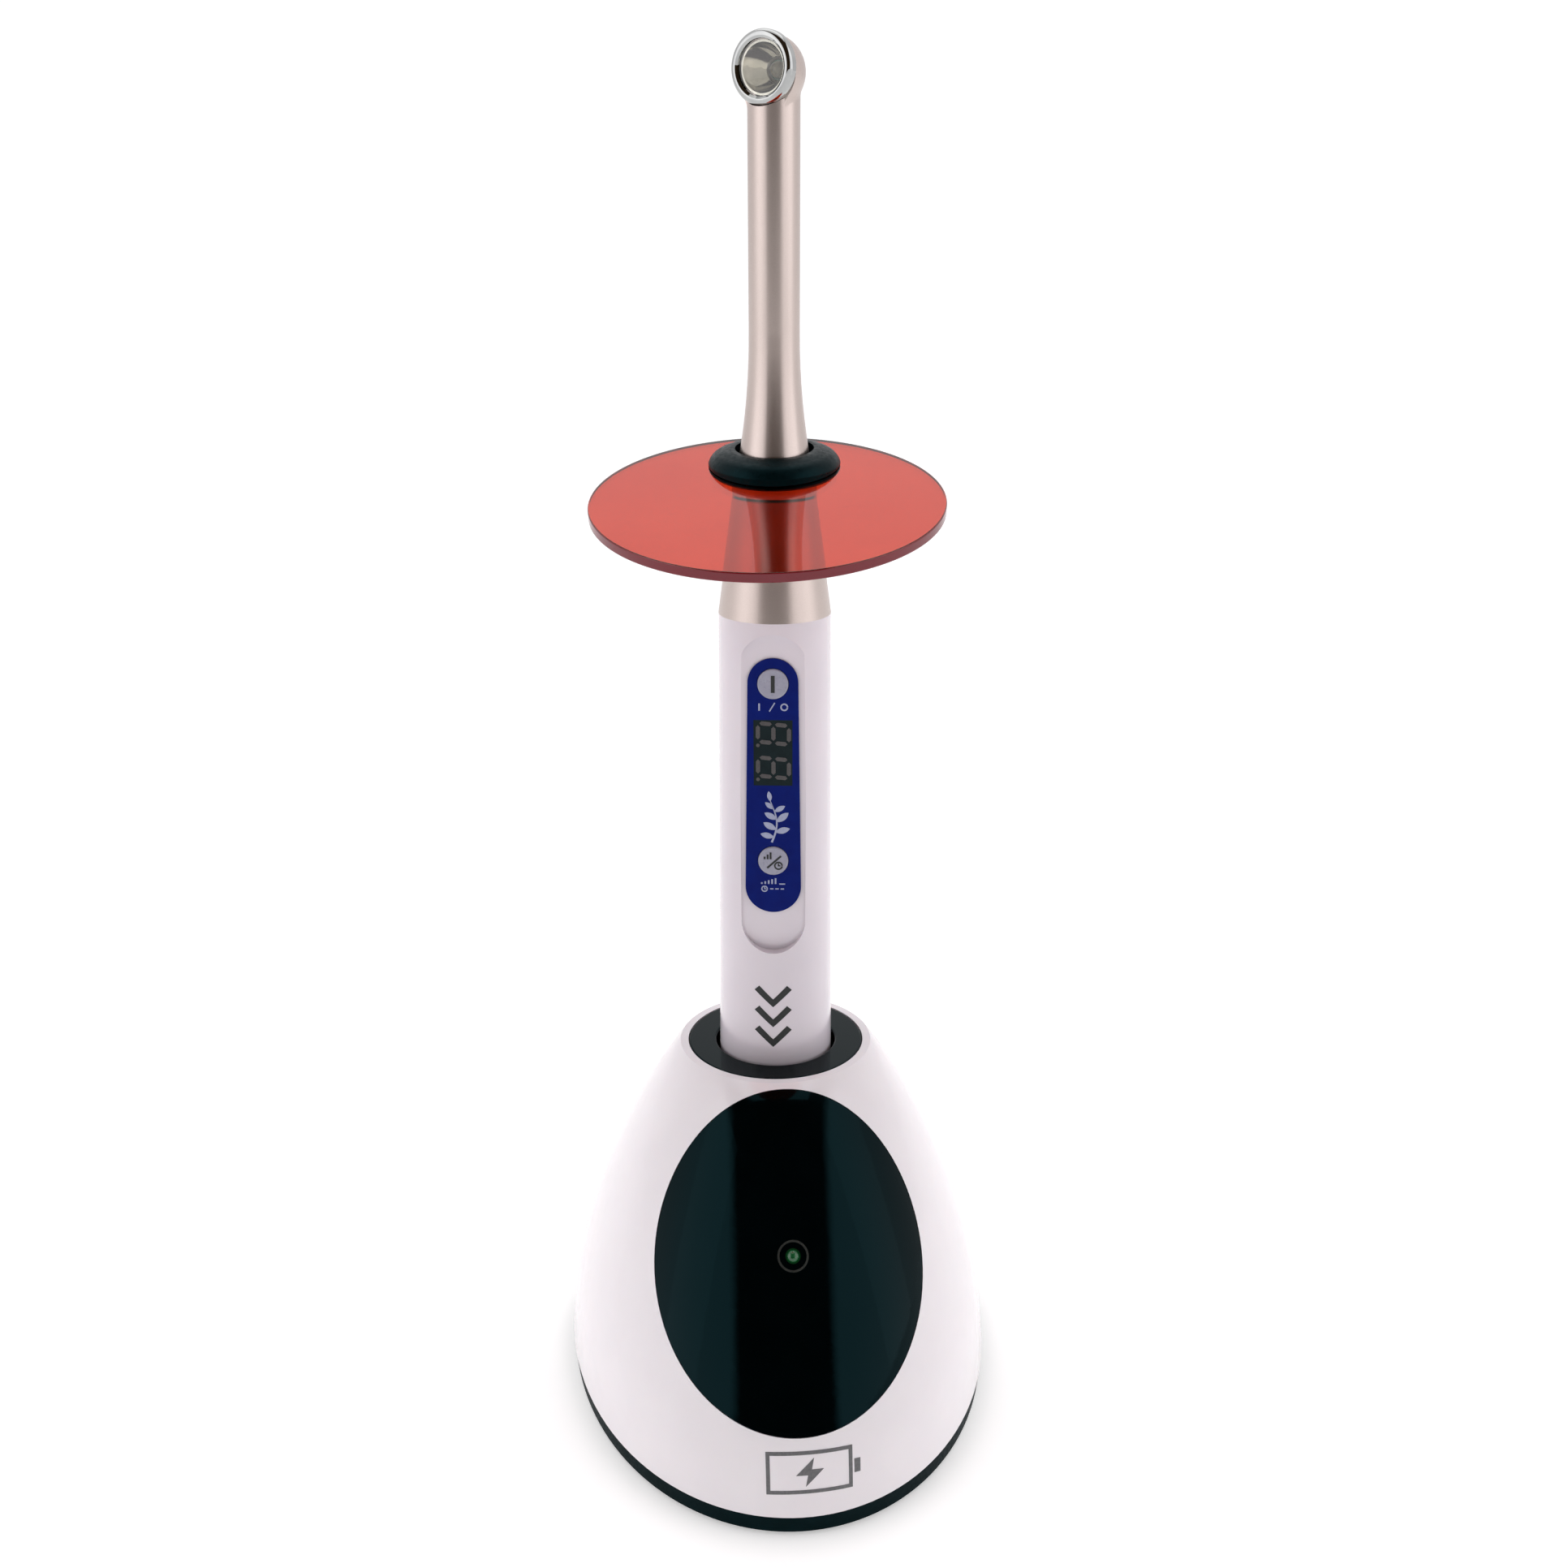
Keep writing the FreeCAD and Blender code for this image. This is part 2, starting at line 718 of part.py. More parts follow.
def rubber_feet():
    feet = at_spots("foot", FOOT_SPOTS, "foot_radius", "foot_height", "0")
    keep("rubber_feet", group("foot_set", *feet))


def ballast_plate():
    """Steel plate on the base, in front of the circuit board, that keeps the stand from tipping."""
    front = "socket_place - board_front - ballast_length - ballast_gap"
    body = padded("ballast_body", lambda sketch: rectangle(
        sketch, "-ballast_half_width", front, "ballast_half_width", front + " + ballast_length"),
        "ballast_height", z="plate_top")
    rounded(body, "ballast_corner", lambda edge: abs(edge.tangentAt(edge.FirstParameter).z) > 0.9)
    keep("ballast_plate", body)


def charger_board():
    """Circuit board on the standoffs."""
    body = padded("charger_board_body", lambda sketch: rectangle(
        sketch, "-board_half_width", "socket_place - board_front",
        "board_half_width", "socket_place + stand_back_reach * board_back_share"),
        "board_thickness", z="board_height")
    keep("charger_board", body)


def socket_ring():
    """Flat black ring round the socket's mouth."""
    body = turned("socket_ring_body", [
        ("socket_radius", "ring_bottom"),
        ("ring_radius", "ring_bottom"),
        ("ring_radius", "stand_height"),
        ("socket_radius", "stand_height"),
    ])
    rounded(body, "ring_edge", lambda edge: edge.BoundBox.ZMin > value("stand_height") - 0.01)
    keep("socket_ring", body, place(y=value("socket_place")))


def socket_cup():
    """Cup that holds the handle, hung in the shell by its flange, with two pin holes in its floor."""
    cup = turned("socket_cup_body", [
        ("0", "cup_under"),
        ("cup_radius", "cup_under"),
        ("cup_radius", "flange_bottom"),
        ("cup_flange_radius", "flange_bottom"),
        ("cup_flange_radius", "ring_bottom"),
        ("socket_radius", "ring_bottom"),
        ("socket_radius", "seat_height"),
        ("0", "seat_height"),
    ])
    middle = cylinder("pin_hole_middle", "pin_radius + pin_hole_gap", "cup_floor * 3",
                      z="cup_under - cup_floor")
    side = cylinder("pin_hole_side", "pin_radius + pin_hole_gap", "cup_floor * 3",
                    y="pin_offset", z="cup_under - cup_floor")
    keep("socket_cup", cut("socket_cup_drilled", cup, middle, side), place(y=value("socket_place")))


def contact_block():
    """Moulded block between board and cup that carries the two pin barrels."""
    height = "cup_under - board_top"
    block = cylinder("block_round", "block_radius", height, z="board_top")
    wells = [cylinder("well_" + name, "barrel_radius", "barrel_length + overcut",
                      y=y_text, z="barrel_bottom")
             for name, y_text in (("middle", "0"), ("side", "pin_offset"))]
    keep("contact_block", cut("contact_block_bored", block, *wells), place(y=value("socket_place")))


def dc_inlet():
    """Round power socket at the back: body, nose through the shell, bore and centre pin."""
    inner_back = f"{reach('jack_centre', 'stand_back_reach')} - shell_wall"
    front = f"socket_place + {inner_back} - jack_length - jack_wall_gap"
    case = box("jack_case", "jack_width", "jack_length", "jack_tall",
               "-jack_width / 2", front, "board_top")
    backward = spin((1, 0, 0), -90)
    nose = cylinder("jack_nose", "jack_nose_radius", "shell_wall + jack_length / 2",
                    y=f"{front} + jack_length / 2", z="jack_centre", rotation=backward)
    bore = cylinder("jack_bore", "jack_bore_radius", "jack_length * 2",
                    y=f"{front} + jack_length / 3", z="jack_centre", rotation=backward)
    pin = cylinder("jack_pin", "jack_pin_radius", "jack_pin_length",
                   y=f"{front} + jack_length / 4", z="jack_centre", rotation=backward)
    shell = cut("jack_bored", fuse("jack_blank", case, nose), bore)
    keep("dc_inlet", fuse("jack_with_pin", shell, pin))


def charging_pins():
    """Two sprung pins: barrels held in the block, plungers that move, springs under them."""
    barrels = []
    for name, y_text in (("middle", "0"), ("side", "pin_offset")):
        barrels.append(turned(f"barrel_{name}", [
            ("0", "barrel_bottom"),
            ("barrel_radius", "barrel_bottom"),
            ("barrel_radius", "barrel_top"),
            ("pin_radius + running_clearance", "barrel_top"),
            ("pin_radius + running_clearance", "barrel_top - barrel_wall"),
            ("barrel_bore", "barrel_top - barrel_wall"),
            ("barrel_bore", "barrel_bottom + barrel_wall"),
            ("0", "barrel_bottom + barrel_wall"),
        ]))
        barrels[-1].Placement = place(y=value(y_text))
        plunger = turned(f"plunger_{name}", [
            ("0", "pin_flange_bottom"),
            ("pin_flange_radius", "pin_flange_bottom"),
            ("pin_flange_radius", "pin_flange_top"),
            ("pin_radius", "pin_flange_top"),
            ("pin_radius", "pad_face - pin_radius - running_clearance",
             ("y", "pad_face - pin_radius - running_clearance", 1)),
            ("0", "pad_face - running_clearance"),
        ])
        spot = place(y=value("socket_place") + value(y_text))
        keep(f"charging_pin_{name}", plunger, spot)
        coil(f"pin_spring_{name}", "barrel_bore - 2 * spring_wire_radius", "spring_wire_radius",
             "barrel_bottom + barrel_wall + running_clearance",
             "pin_flange_bottom - running_clearance", "pin_spring_turns", spot)
    keep("pin_barrels", group("barrel_set", *barrels), place(y=value("socket_place")))


# ---------------------------------------------------------------- the handpiece

def stadium(sketch, bottom, top, bottom_half, top_half):
    """Upright slot with round ends, its two halves free to differ in width."""
    low = f"{bottom} + {bottom_half}"
    high = f"{top} - {top_half}"
    outline(sketch, [
        (bottom_half, low),
        (top_half, high, ("y", high, 1)),
        (f"-({top_half})", high),
        (f"-({bottom_half})", low, ("y", low, 1)),
    ])


def front_pad(name, draw, back_plane, length):
    """Pad that starts a distance in front of the handpiece's axis and grows forwards."""
    return padded(name, draw, length, "XZ_Plane", z=back_plane)


def handle_shell():
    """White tapered tube with a flat recess and openings for window and buttons."""
    outer = turned("handle_outer", [
        ("0", "cap_height"),
        ("handle_tail_radius", "cap_height"),
        ("handle_tail_radius", "socket_depth"),
        ("handle_top_radius", "handle_length"),
        ("0", "handle_length"),
    ])
    bore = cylinder("handle_bore_round", "handle_bore", "handle_length + 2 * overcut", z="-overcut")
    flat = box("handle_bore_flat", "handle_bore * 2", "handle_bore",
               "handle_length - recess_bottom + recess_flat_margin", "-handle_bore",
               "-recess_inner - handle_bore", "recess_bottom - recess_flat_margin")
    hollow = cut("handle_hollow", bore, flat)
    recess = front_pad("recess_cut", lambda sketch: stadium(
        sketch, "recess_bottom", "recess_top", "recess_half_width", "recess_half_width"),
        "recess_plane", "handle_tail_radius")
    window = front_pad("window_cut", lambda sketch: rectangle(
        sketch, "-window_width / 2 - fit_gap", "window_bottom - fit_gap",
        "window_width / 2 + fit_gap", "window_top + fit_gap"),
        "recess_inner - overcut", "recess_wall + 2 * overcut")
    holes = [front_pad(f"{name}_hole", lambda sketch, z=z: circle(sketch, "button_hole", "0", z),
                       "recess_inner - overcut", "recess_wall + 2 * overcut")
             for name, z in (("power", "power_height"), ("mode", "mode_height"))]
    keep("handle_shell", cut("handle_finished", outer, hollow, recess, window, *holes),
         socket_frame("handle_yaw"))


def control_overlay():
    """Thin blue plate glued in the recess, pierced for the window and the two buttons."""

    def draw(sketch):
        stadium(sketch, "overlay_bottom", "overlay_top", "overlay_bottom_width / 2",
                "overlay_top_width / 2")
        circle(sketch, "button_hole", "0", "power_height")
        circle(sketch, "button_hole", "0", "mode_height")
        rectangle(sketch, "-window_width / 2", "window_bottom", "window_width / 2", "window_top")

    keep("control_overlay", front_pad("overlay_body", draw, "recess_plane", "overlay_thickness"),
         socket_frame("handle_yaw"))


def display_window():
    """Dark window flush with the overlay."""
    body = front_pad("window_body", lambda sketch: rectangle(
        sketch, "-window_width / 2", "window_bottom", "window_width / 2", "window_top"),
        "recess_inner + fit_gap", "overlay_face - recess_inner - fit_gap")
    keep("display_window", body, socket_frame("handle_yaw"))


def digit_module():
    """Two-digit light block on the control board, behind the window."""
    body = front_pad("digit_body", lambda sketch: rectangle(
        sketch, "-window_width / 2 + fit_gap", "window_bottom", "window_width / 2 - fit_gap", "window_top"),
        "control_board_plane", "recess_inner - control_board_plane")
    keep("digit_module", body, socket_frame("handle_yaw"))


def control_board():
    """Long circuit board behind the recess."""
    body = front_pad("control_board_body", lambda sketch: rectangle(
        sketch, "-control_board_width / 2", "recess_bottom + control_board_foot",
        "control_board_width / 2", "cone_spigot_bottom - control_board_head"),
        "control_board_plane - control_board_thickness", "control_board_thickness")
    keep("control_board", body, socket_frame("handle_yaw"))


def tact_switches():
    """Two small switches on the board, one behind each button."""
    switches = []
    for name, z in (("power", "power_height"), ("mode", "mode_height")):
        case = front_pad(f"{name}_switch_case", lambda sketch, z=z: rectangle(
            sketch, "-switch_width / 2", f"{z} - switch_width / 2",
            "switch_width / 2", f"{z} + switch_width / 2"),
            "control_board_plane", "switch_case_height")
        knob = front_pad(f"{name}_switch_knob", lambda sketch, z=z: circle(
            sketch, "button_radius / 2", "0", z), "control_board_plane", "switch_height")
        switches.append(fuse(f"{name}_switch", case, knob))
    keep("tact_switches", group("switch_set", *switches), socket_frame("handle_yaw"))


def beeper():
    body = front_pad("beeper_body", lambda sketch: circle(
        sketch, "beeper_radius", "0", "(mode_height + window_bottom) / 2"),
        "control_board_plane - control_board_thickness - beeper_height", "beeper_height")
    keep("beeper", body, socket_frame("handle_yaw"))


def push_button(label, height):
    """Round key with a crowned cap, a keeping flange inside the wall and a stem to its switch."""
    body = turned(label + "_body", [
        ("0", "button_back"),
        ("button_radius / 3", "button_back"),
        ("button_radius / 3", "recess_inner - fit_gap - button_flange"),
        ("button_radius + button_flange", "recess_inner - fit_gap - button_flange"),
        ("button_radius + button_flange", "recess_inner - fit_gap"),
        ("button_radius", "recess_inner - fit_gap"),
        ("button_radius", "overlay_face + button_proud - button_edge_drop"),
        ("button_radius - button_edge_width", "overlay_face + button_proud"),
        ("0", "overlay_face + button_proud"),
    ])
    forward = spin((1, 0, 0), 90)
    frame = socket_frame("handle_yaw")
    keep(label, body, frame.multiply(place(z=value(height), rotation=forward)))


def tail_cap():
    """Closes the handle's lower end, with a well for each charging pad."""
    cap = turned("tail_cap_body", [
        ("0", "pad_top"),
        ("pad_radius + fit_gap", "pad_top"),
        ("pad_radius + fit_gap", "0"),
        ("pin_offset - pad_half_ring - fit_gap", "0"),
        ("pin_offset - pad_half_ring - fit_gap", "pad_top"),
        ("pin_offset + pad_half_ring + fit_gap", "pad_top"),
        ("pin_offset + pad_half_ring + fit_gap", "0"),
        ("handle_tail_radius - tail_chamfer", "0"),
        ("handle_tail_radius", "tail_chamfer"),
        ("handle_tail_radius", "cap_height"),
        ("handle_bore - running_clearance", "cap_height"),
        ("handle_bore - running_clearance", "cap_height + spigot_length"),
        ("handle_bore - spigot_wall", "cap_height + spigot_length"),
        ("handle_bore - spigot_wall", "cap_height"),
        ("0", "cap_height"),
    ])
    keep("tail_cap", cap, socket_frame("handle_yaw"))


def charging_pads():
    """Round middle pad and ring pad that the stand's pins touch."""
    middle = cylinder("pad_middle_round", "pad_radius", "pad_thickness", z="pad_recess")
    keep("charging_pad_middle", middle, socket_frame("handle_yaw").multiply(
        place(z=value("pad_recess"))))
    ring = turned("pad_ring_body", [
        ("pin_offset - pad_half_ring", "pad_recess"),
        ("pin_offset + pad_half_ring", "pad_recess"),
        ("pin_offset + pad_half_ring", "pad_top"),
        ("pin_offset - pad_half_ring", "pad_top"),
    ])
    keep("charging_pad_ring", ring, socket_frame("handle_yaw"))


def battery():
    """Round rechargeable cell, its coil contact below and its contact plate above."""
    cell = turned("battery_body", [
        ("0", "battery_bottom"),
        ("battery_radius", "battery_bottom"),
        ("battery_radius", "battery_top - battery_nub_height - battery_shoulder"),
        ("battery_radius - battery_shoulder", "battery_top - battery_nub_height"),
        ("battery_nub_radius", "battery_top - battery_nub_height"),
        ("battery_nub_radius", "battery_top"),
        ("0", "battery_top"),
    ])
    keep("battery_cell", cell, socket_frame("handle_yaw"))
    coil("battery_spring", "battery_radius / 2", "battery_spring_wire", "cap_height + running_clearance",
         "battery_bottom - running_clearance", "battery_spring_turns", socket_frame("handle_yaw"))
    plate = cylinder("battery_plate_round", "battery_radius - battery_shoulder",
                     "contact_plate_thickness")
    keep("battery_plate", plate, socket_frame("handle_yaw").multiply(place(z=value("battery_top"))))


# ---------------------------------------------------------------- the neck

def front_cone():
    """Metal cone plugged into the handle, bored at its top for the swivel bush."""
    cone = turned("cone_body", [
        ("handle_bore - cone_spigot_wall", "cone_spigot_bottom"),
        ("handle_bore - running_clearance", "cone_spigot_bottom"),
        ("handle_bore - running_clearance", "handle_length"),
        ("handle_top_radius", "handle_length"),
        ("cone_top_radius", "cone_top"),
        ("bush_seat", "cone_top"),
        ("bush_seat", "bush_bottom"),
        ("clip_radius + clip_room", "bush_bottom"),
        ("handle_bore - cone_spigot_wall", "handle_length + cone_length / 3"),
    ])
    flat = box("cone_flat", "handle_bore * 2", "handle_bore", "handle_length - cone_spigot_bottom",
               "-handle_bore", "-recess_inner + fit_gap - handle_bore", "cone_spigot_bottom")
    keep("front_cone", cut("cone_finished", cone, flat), socket_frame("handle_yaw"))


def swivel_bush():
    """Plastic bearing pressed into the cone; its flange is the dark line under the collar."""
    bush = turned("bush_body", [
        ("bush_bore", "bush_bottom"),
        ("bush_radius", "bush_bottom"),
        ("bush_radius", "cone_top"),
        ("cone_top_radius - bush_rim_margin", "cone_top"),
        ("cone_top_radius - bush_rim_margin", "cone_top + bush_flange"),
        ("bush_bore", "cone_top + bush_flange"),
    ])
    keep("swivel_bush", bush, socket_frame("handle_yaw"))


def swivel_clip():
    """Retaining ring in the spigot's groove, below the bush."""
    ring = turned("clip_body", [
        ("clip_groove + running_clearance", "clip_bottom + running_clearance"),
        ("clip_radius", "clip_bottom + running_clearance"),
        ("clip_radius", "clip_top - running_clearance"),
        ("clip_groove + running_clearance", "clip_top - running_clearance"),
    ])
    slit = box("clip_gap_tool", "clip_slit", "clip_radius * 2", "clip_thickness * 2", "-clip_slit / 2", "0",
               "clip_bottom - clip_thickness / 2")
    keep("swivel_clip", cut("clip_slotted", ring, slit), socket_frame("head_yaw"))


# ---------------------------------------------------------------- wand and head

def wand():
    """One metal piece: swivel spigot, collar, flared tube and the round-backed head."""
    body = turned("wand_body", [
        ("wand_bore_radius", "spigot_end"),
        ("swivel_radius", "spigot_end"),
        ("swivel_radius", "clip_bottom"),
        ("clip_groove", "clip_bottom"),
        ("clip_groove", "clip_top"),
        ("swivel_radius", "clip_top"),
        ("swivel_radius", "collar_bottom"),
        ("cone_top_radius", "collar_bottom"),
        ("cone_top_radius", "collar_top"),
        ("flare_root_radius", "collar_top", ("y", "flare_top", -1)),
        ("wand_radius", "flare_top"),
        ("wand_radius", "head_height"),
        ("wand_bore_radius", "head_height"),
    ])
    sketch = new_sketch(body, "YZ_Plane", y="head_height")
    outline(sketch, [
        ("-bezel_back", "0"),
        ("head_radius - head_forward", "0", ("x", "-head_forward", 1)),
        ("-head_forward", "head_radius"),
        ("-bezel_back", "head_radius - head_edge"),
    ])
    dome = body.newObject("PartDesign::Revolution", "head_dome")
    dome.Profile = sketch
    dome.ReferenceAxis = (sketch, ["H_Axis"])
    dome.Angle = 360
    doc.recompute()
    low = value("head_height - head_radius + 0.5")
    high = value("head_height - 1")

    def at_the_throat(edge):
        bounds = edge.BoundBox
        mid = edge.valueAt((edge.FirstParameter + edge.LastParameter) / 2)
        on_tube = abs(math.hypot(mid.x, mid.y) - value("wand_radius")) < NEAR
        return bounds.ZMin > low and bounds.ZMax < high and on_tube

    rounded(body, "head_blend", at_the_throat)
    front_room = cylinder("bezel_room", "head_radius + fit_gap / 2", "head_radius * 2",
                          y="-bezel_back", z="lens_height", rotation=spin((1, 0, 0), 90))
    cavity = cylinder("head_cavity", "cavity_radius", "cavity_depth + bezel_back + overcut",
                      y="cavity_depth", z="lens_height", rotation=spin((1, 0, 0), 90))
    wire_way = cylinder("wire_way", "wand_bore_radius", "lens_height - spigot_end", z="spigot_end")
    keep("wand", cut("wand_finished", body, front_room, cavity, wire_way), socket_frame("head_yaw"))


def lens_axis_piece(label, corners):
    """Sub-part turned about the lens axis, its lengths measured backwards from the wand's axis."""
    body = turned(label + "_body", corners, "XY_Plane")
    keep(label, body, socket_frame("head_yaw").multiply(place(z=value("lens_height"))))


def head_bezel():
    """Polished ring that holds the lens."""
    lens_axis_piece("head_bezel", [
        ("lens_radius + running_clearance", "-bezel_front + bezel_lip_depth"),
        ("lens_radius + bezel_lip_width", "-bezel_front"),
        ("head_radius - bezel_bead", "-bezel_front", ("x", "head_radius - bezel_bead", 1)),
        ("head_radius", "-bezel_front + bezel_bead"),
        ("head_radius", "-bezel_back - running_clearance"),
        ("lens_radius + running_clearance", "-bezel_back - running_clearance"),
    ])


def lens_window():
    """Clear, slightly crowned window."""
    lens_axis_piece("lens_window", [
        ("0", "lens_back"),
        ("0", "-bezel_front + lens_crown_depth", ("x", "0", 1)),
        ("lens_radius", "-bezel_front + lens_edge_depth"),
        ("lens_radius", "lens_back"),
    ])


def reflector():
    """Polished bowl between the lamp chip and the lens."""
    lens_axis_piece("reflector", [
        ("cavity_radius - running_clearance - bowl_wall", "bowl_rim", ("x", "bowl_centre", 1)),
        ("emitter_radius + lamp_board_gap", "bowl_foot"),
        ("emitter_radius + lamp_board_gap + bowl_wall", "bowl_foot", ("x", "bowl_centre", -1)),
        ("cavity_radius - running_clearance", "bowl_rim"),
    ])


def lamp_board():
    """Round metal-cored board at the back of the head."""
    lens_axis_piece("lamp_board", [
        ("0", "lamp_board_face"),
        ("cavity_radius - lamp_board_gap", "lamp_board_face"),
        ("cavity_radius - lamp_board_gap", "cavity_depth - running_clearance"),
        ("0", "cavity_depth - running_clearance"),
    ])


def lamp_chip():
    """Blue light source under a small clear dome."""
    lens_axis_piece("lamp_chip", [
        ("0", "lamp_board_face"),
        ("0", "lamp_board_face - emitter_radius", ("y", "lamp_board_face", 1)),
        ("emitter_radius", "lamp_board_face"),
    ])


def lamp_wires():
    """Two insulated wires from the swivel up the wand to the lamp board."""
    length = "lens_height - wire_stop - spigot_end + wire_tail"
    wires = [cylinder(f"lamp_wire_{side}", "wire_radius", length, x=x_text,
                      y="wire_back", z="spigot_end - wire_tail")
             for side, x_text in (("left", "-wire_offset"), ("right", "wire_offset"))]
    keep("lamp_wires", group("lamp_wire_pair", *wires), socket_frame("head_yaw"))


# ---------------------------------------------------------------- the shield

def shield_frame(tilt):
    """Placement about the point where the shield crosses the wand's axis."""
    lean = spin((0, 0, 1), value("shield_yaw")).multiply(spin((1, 0, 0), value(tilt)))
    return place(0, value("socket_place"), value("seat_height + shield_centre"), lean)


def shield_disc():
    """Round tinted screen with an off-centre hole."""

    def draw(sketch):
        circle(sketch, "shield_radius", "0", "-shield_offset")
        circle(sketch, "disc_hole")

    body = padded("shield_disc_body", draw, "shield_thickness", z="-shield_thickness / 2")
    rounded(body, "shield_edge", lambda edge: edge.Length > math.pi * value("shield_radius + disc_hole"))
    keep("shield_disc", body, shield_frame("shield_tilt"))


def shield_grommet():
    """Rubber ring on the flare, with a slanting groove that the disc turns in."""
    outer = turned("grommet_outer", [
        ("0", "-grommet_rise + grommet_under"),
        ("grommet_radius - grommet_foot", "-grommet_rise + grommet_under"),
        ("grommet_radius - grommet_belly", "-grommet_rise + grommet_belly_height",
         ("y", "grommet_belly_centre", 1)),
        ("grommet_radius", "-grommet_side"),
        ("grommet_radius", "grommet_side", ("y", "grommet_side_centre", 1)),
        ("grommet_radius - grommet_brow", "grommet_rise - grommet_brow_drop",
         ("y", "grommet_brow_centre", 1)),
        ("grommet_radius - grommet_crown", "grommet_rise"),
        ("0", "grommet_rise - grommet_dish"),
    ])
    outer.Placement = place(rotation=spin((1, 0, 0), value("grommet_tilt")))
    slab = cylinder("groove_slab", "shield_radius", "disc_slot * 2", z="-disc_slot")
    waist = cylinder("groove_waist", "waist_radius", "disc_slot * 4", z="-disc_slot * 2")
    groove = cut("grommet_groove", slab, waist)
    groove.Placement = place(rotation=spin((1, 0, 0), value("shield_tilt")))
    bore = doc.addObject("Part::Cone", "grommet_bore")
    bind(bore, Radius1="flare_root_radius + grommet_bore_gap", Radius2="grommet_bore_radius",
         Height="grommet_rise + overcut + shield_height")
    bore.Placement = place(z=-value("shield_height"))
    collar = cylinder("collar_room", "cone_top_radius + grommet_collar_gap", "collar_length",
                      z="-shield_height - collar_length + running_clearance")
    keep("shield_grommet", cut("grommet_finished", outer, groove, bore, collar),
         place(0, value("socket_place"), value("seat_height + shield_centre"),
               spin((0, 0, 1), value("shield_yaw"))))


# ---------------------------------------------------------------- build, check and write

def check_and_write():
    """Stop on any failed object or bad shape, then write each sub-part."""
    doc.recompute()
    for feature in doc.Objects:
        if "Invalid" in feature.State or "Error" in feature.State:
            raise ValueError(f"{feature.Name} failed: {feature.State}")
    for feature in parts:
        if feature.Shape.isNull() or not feature.Shape.isValid():
            raise ValueError(f"{feature.Label} has no valid shape")
    os.makedirs("parts", exist_ok=True)
    for feature in parts:
        feature.Shape.exportStep(f"parts/{feature.Label}.step")
        print(feature.Label, len(feature.Shape.Solids), round(feature.Shape.Volume, 1))


for make in (stand_shell, front_panel, charge_lamp, base_plate, base_screws, rubber_feet,
             ballast_plate, charger_board, socket_ring, socket_cup, contact_block, dc_inlet,
             charging_pins, handle_shell, control_overlay, display_window, digit_module,
             control_board, tact_switches, beeper, tail_cap, charging_pads, battery, front_cone,
             swivel_bush, swivel_clip, wand, head_bezel, lens_window, reflector, lamp_board,
             lamp_chip, lamp_wires, shield_disc, shield_grommet):
    make()
push_button("power_button", "power_height")
push_button("mode_button", "mode_height")
check_and_write()
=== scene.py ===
"""Looks of the cordless dental curing light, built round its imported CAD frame. Lengths are in metres."""
import json
import math

import bmesh
import bpy
from mathutils import Matrix, Vector
from mathutils.bvhtree import BVHTree


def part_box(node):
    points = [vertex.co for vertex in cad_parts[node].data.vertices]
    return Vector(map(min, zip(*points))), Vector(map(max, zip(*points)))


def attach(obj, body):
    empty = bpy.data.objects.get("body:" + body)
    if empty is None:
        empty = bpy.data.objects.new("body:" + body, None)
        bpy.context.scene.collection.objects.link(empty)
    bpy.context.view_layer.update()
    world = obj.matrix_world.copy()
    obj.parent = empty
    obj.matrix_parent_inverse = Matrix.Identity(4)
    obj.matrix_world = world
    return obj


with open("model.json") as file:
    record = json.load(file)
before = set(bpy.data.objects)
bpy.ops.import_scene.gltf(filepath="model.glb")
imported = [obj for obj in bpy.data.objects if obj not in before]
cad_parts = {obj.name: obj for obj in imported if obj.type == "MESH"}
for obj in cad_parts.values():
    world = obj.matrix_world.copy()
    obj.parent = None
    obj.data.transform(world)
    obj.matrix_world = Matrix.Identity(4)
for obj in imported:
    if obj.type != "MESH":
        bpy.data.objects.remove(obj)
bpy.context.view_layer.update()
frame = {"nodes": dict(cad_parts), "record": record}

MM = 0.001
NODES = frame["nodes"]

# ------------------------------------------------------------------ places read from the frame

RING_LOW, RING_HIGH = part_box("socket_ring")
AXIS_Y = (RING_LOW[1] + RING_HIGH[1]) / 2
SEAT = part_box("tail_cap")[0][2]
OVERLAY_FACE = 10.5 * MM

# how pieces are turned, in degrees
HANDLE_YAW = -6.5
SHIELD_YAW = -8.4
SHIELD_TILT = 12.9

# printed marks: thickness of the ink and how finely it follows a curved skin
INK = 0.05 * MM
SKIN_GRAIN = 1.2 * MM
SKIN_PASSES = 4
DRAWING_DISTANCE = 100 * MM

# the eye and the room round it
CAMERA_PLACE = (-25.1 * MM, -333.1 * MM, 256.8 * MM)
CAMERA_PITCH = 71.3
CAMERA_YAW = -4.5
CAMERA_LENS = 37.92
FLOOR_RADIUS = 6.0
FLOOR_GAP = 0.02 * MM
GAP_EDGE = (0.5, 0.62)
BACK_EDGE = (-0.3, 0.25)
GAP_LIGHT = (0.035, 0.022, 0.012, 1)
WALL_LIGHT = (1.55, 1.52, 1.545, 1)
BACK_LIGHT = (0.9, 0.885, 0.895, 1)
TEAL_SHEEN = (0.25, 0.85, 1, 1)


def shield_axis():
    """Direction that the shield's faces look in."""
    yaw = math.radians(SHIELD_YAW)
    tilt = math.radians(SHIELD_TILT)
    return (math.sin(tilt) * math.sin(yaw), -math.sin(tilt) * math.cos(yaw), math.cos(tilt))


def handle_frame(forward, height):
    """Matrix of a flat drawing on the handle: X to the right, Y up, Z out of the front."""
    turn = Matrix.Rotation(math.radians(HANDLE_YAW), 4, "Z")
    face = Matrix.Rotation(math.radians(90), 4, "X")
    return Matrix.Translation((0, AXIS_Y, SEAT)) @ turn @ Matrix.Translation((0, -forward, height)) @ face


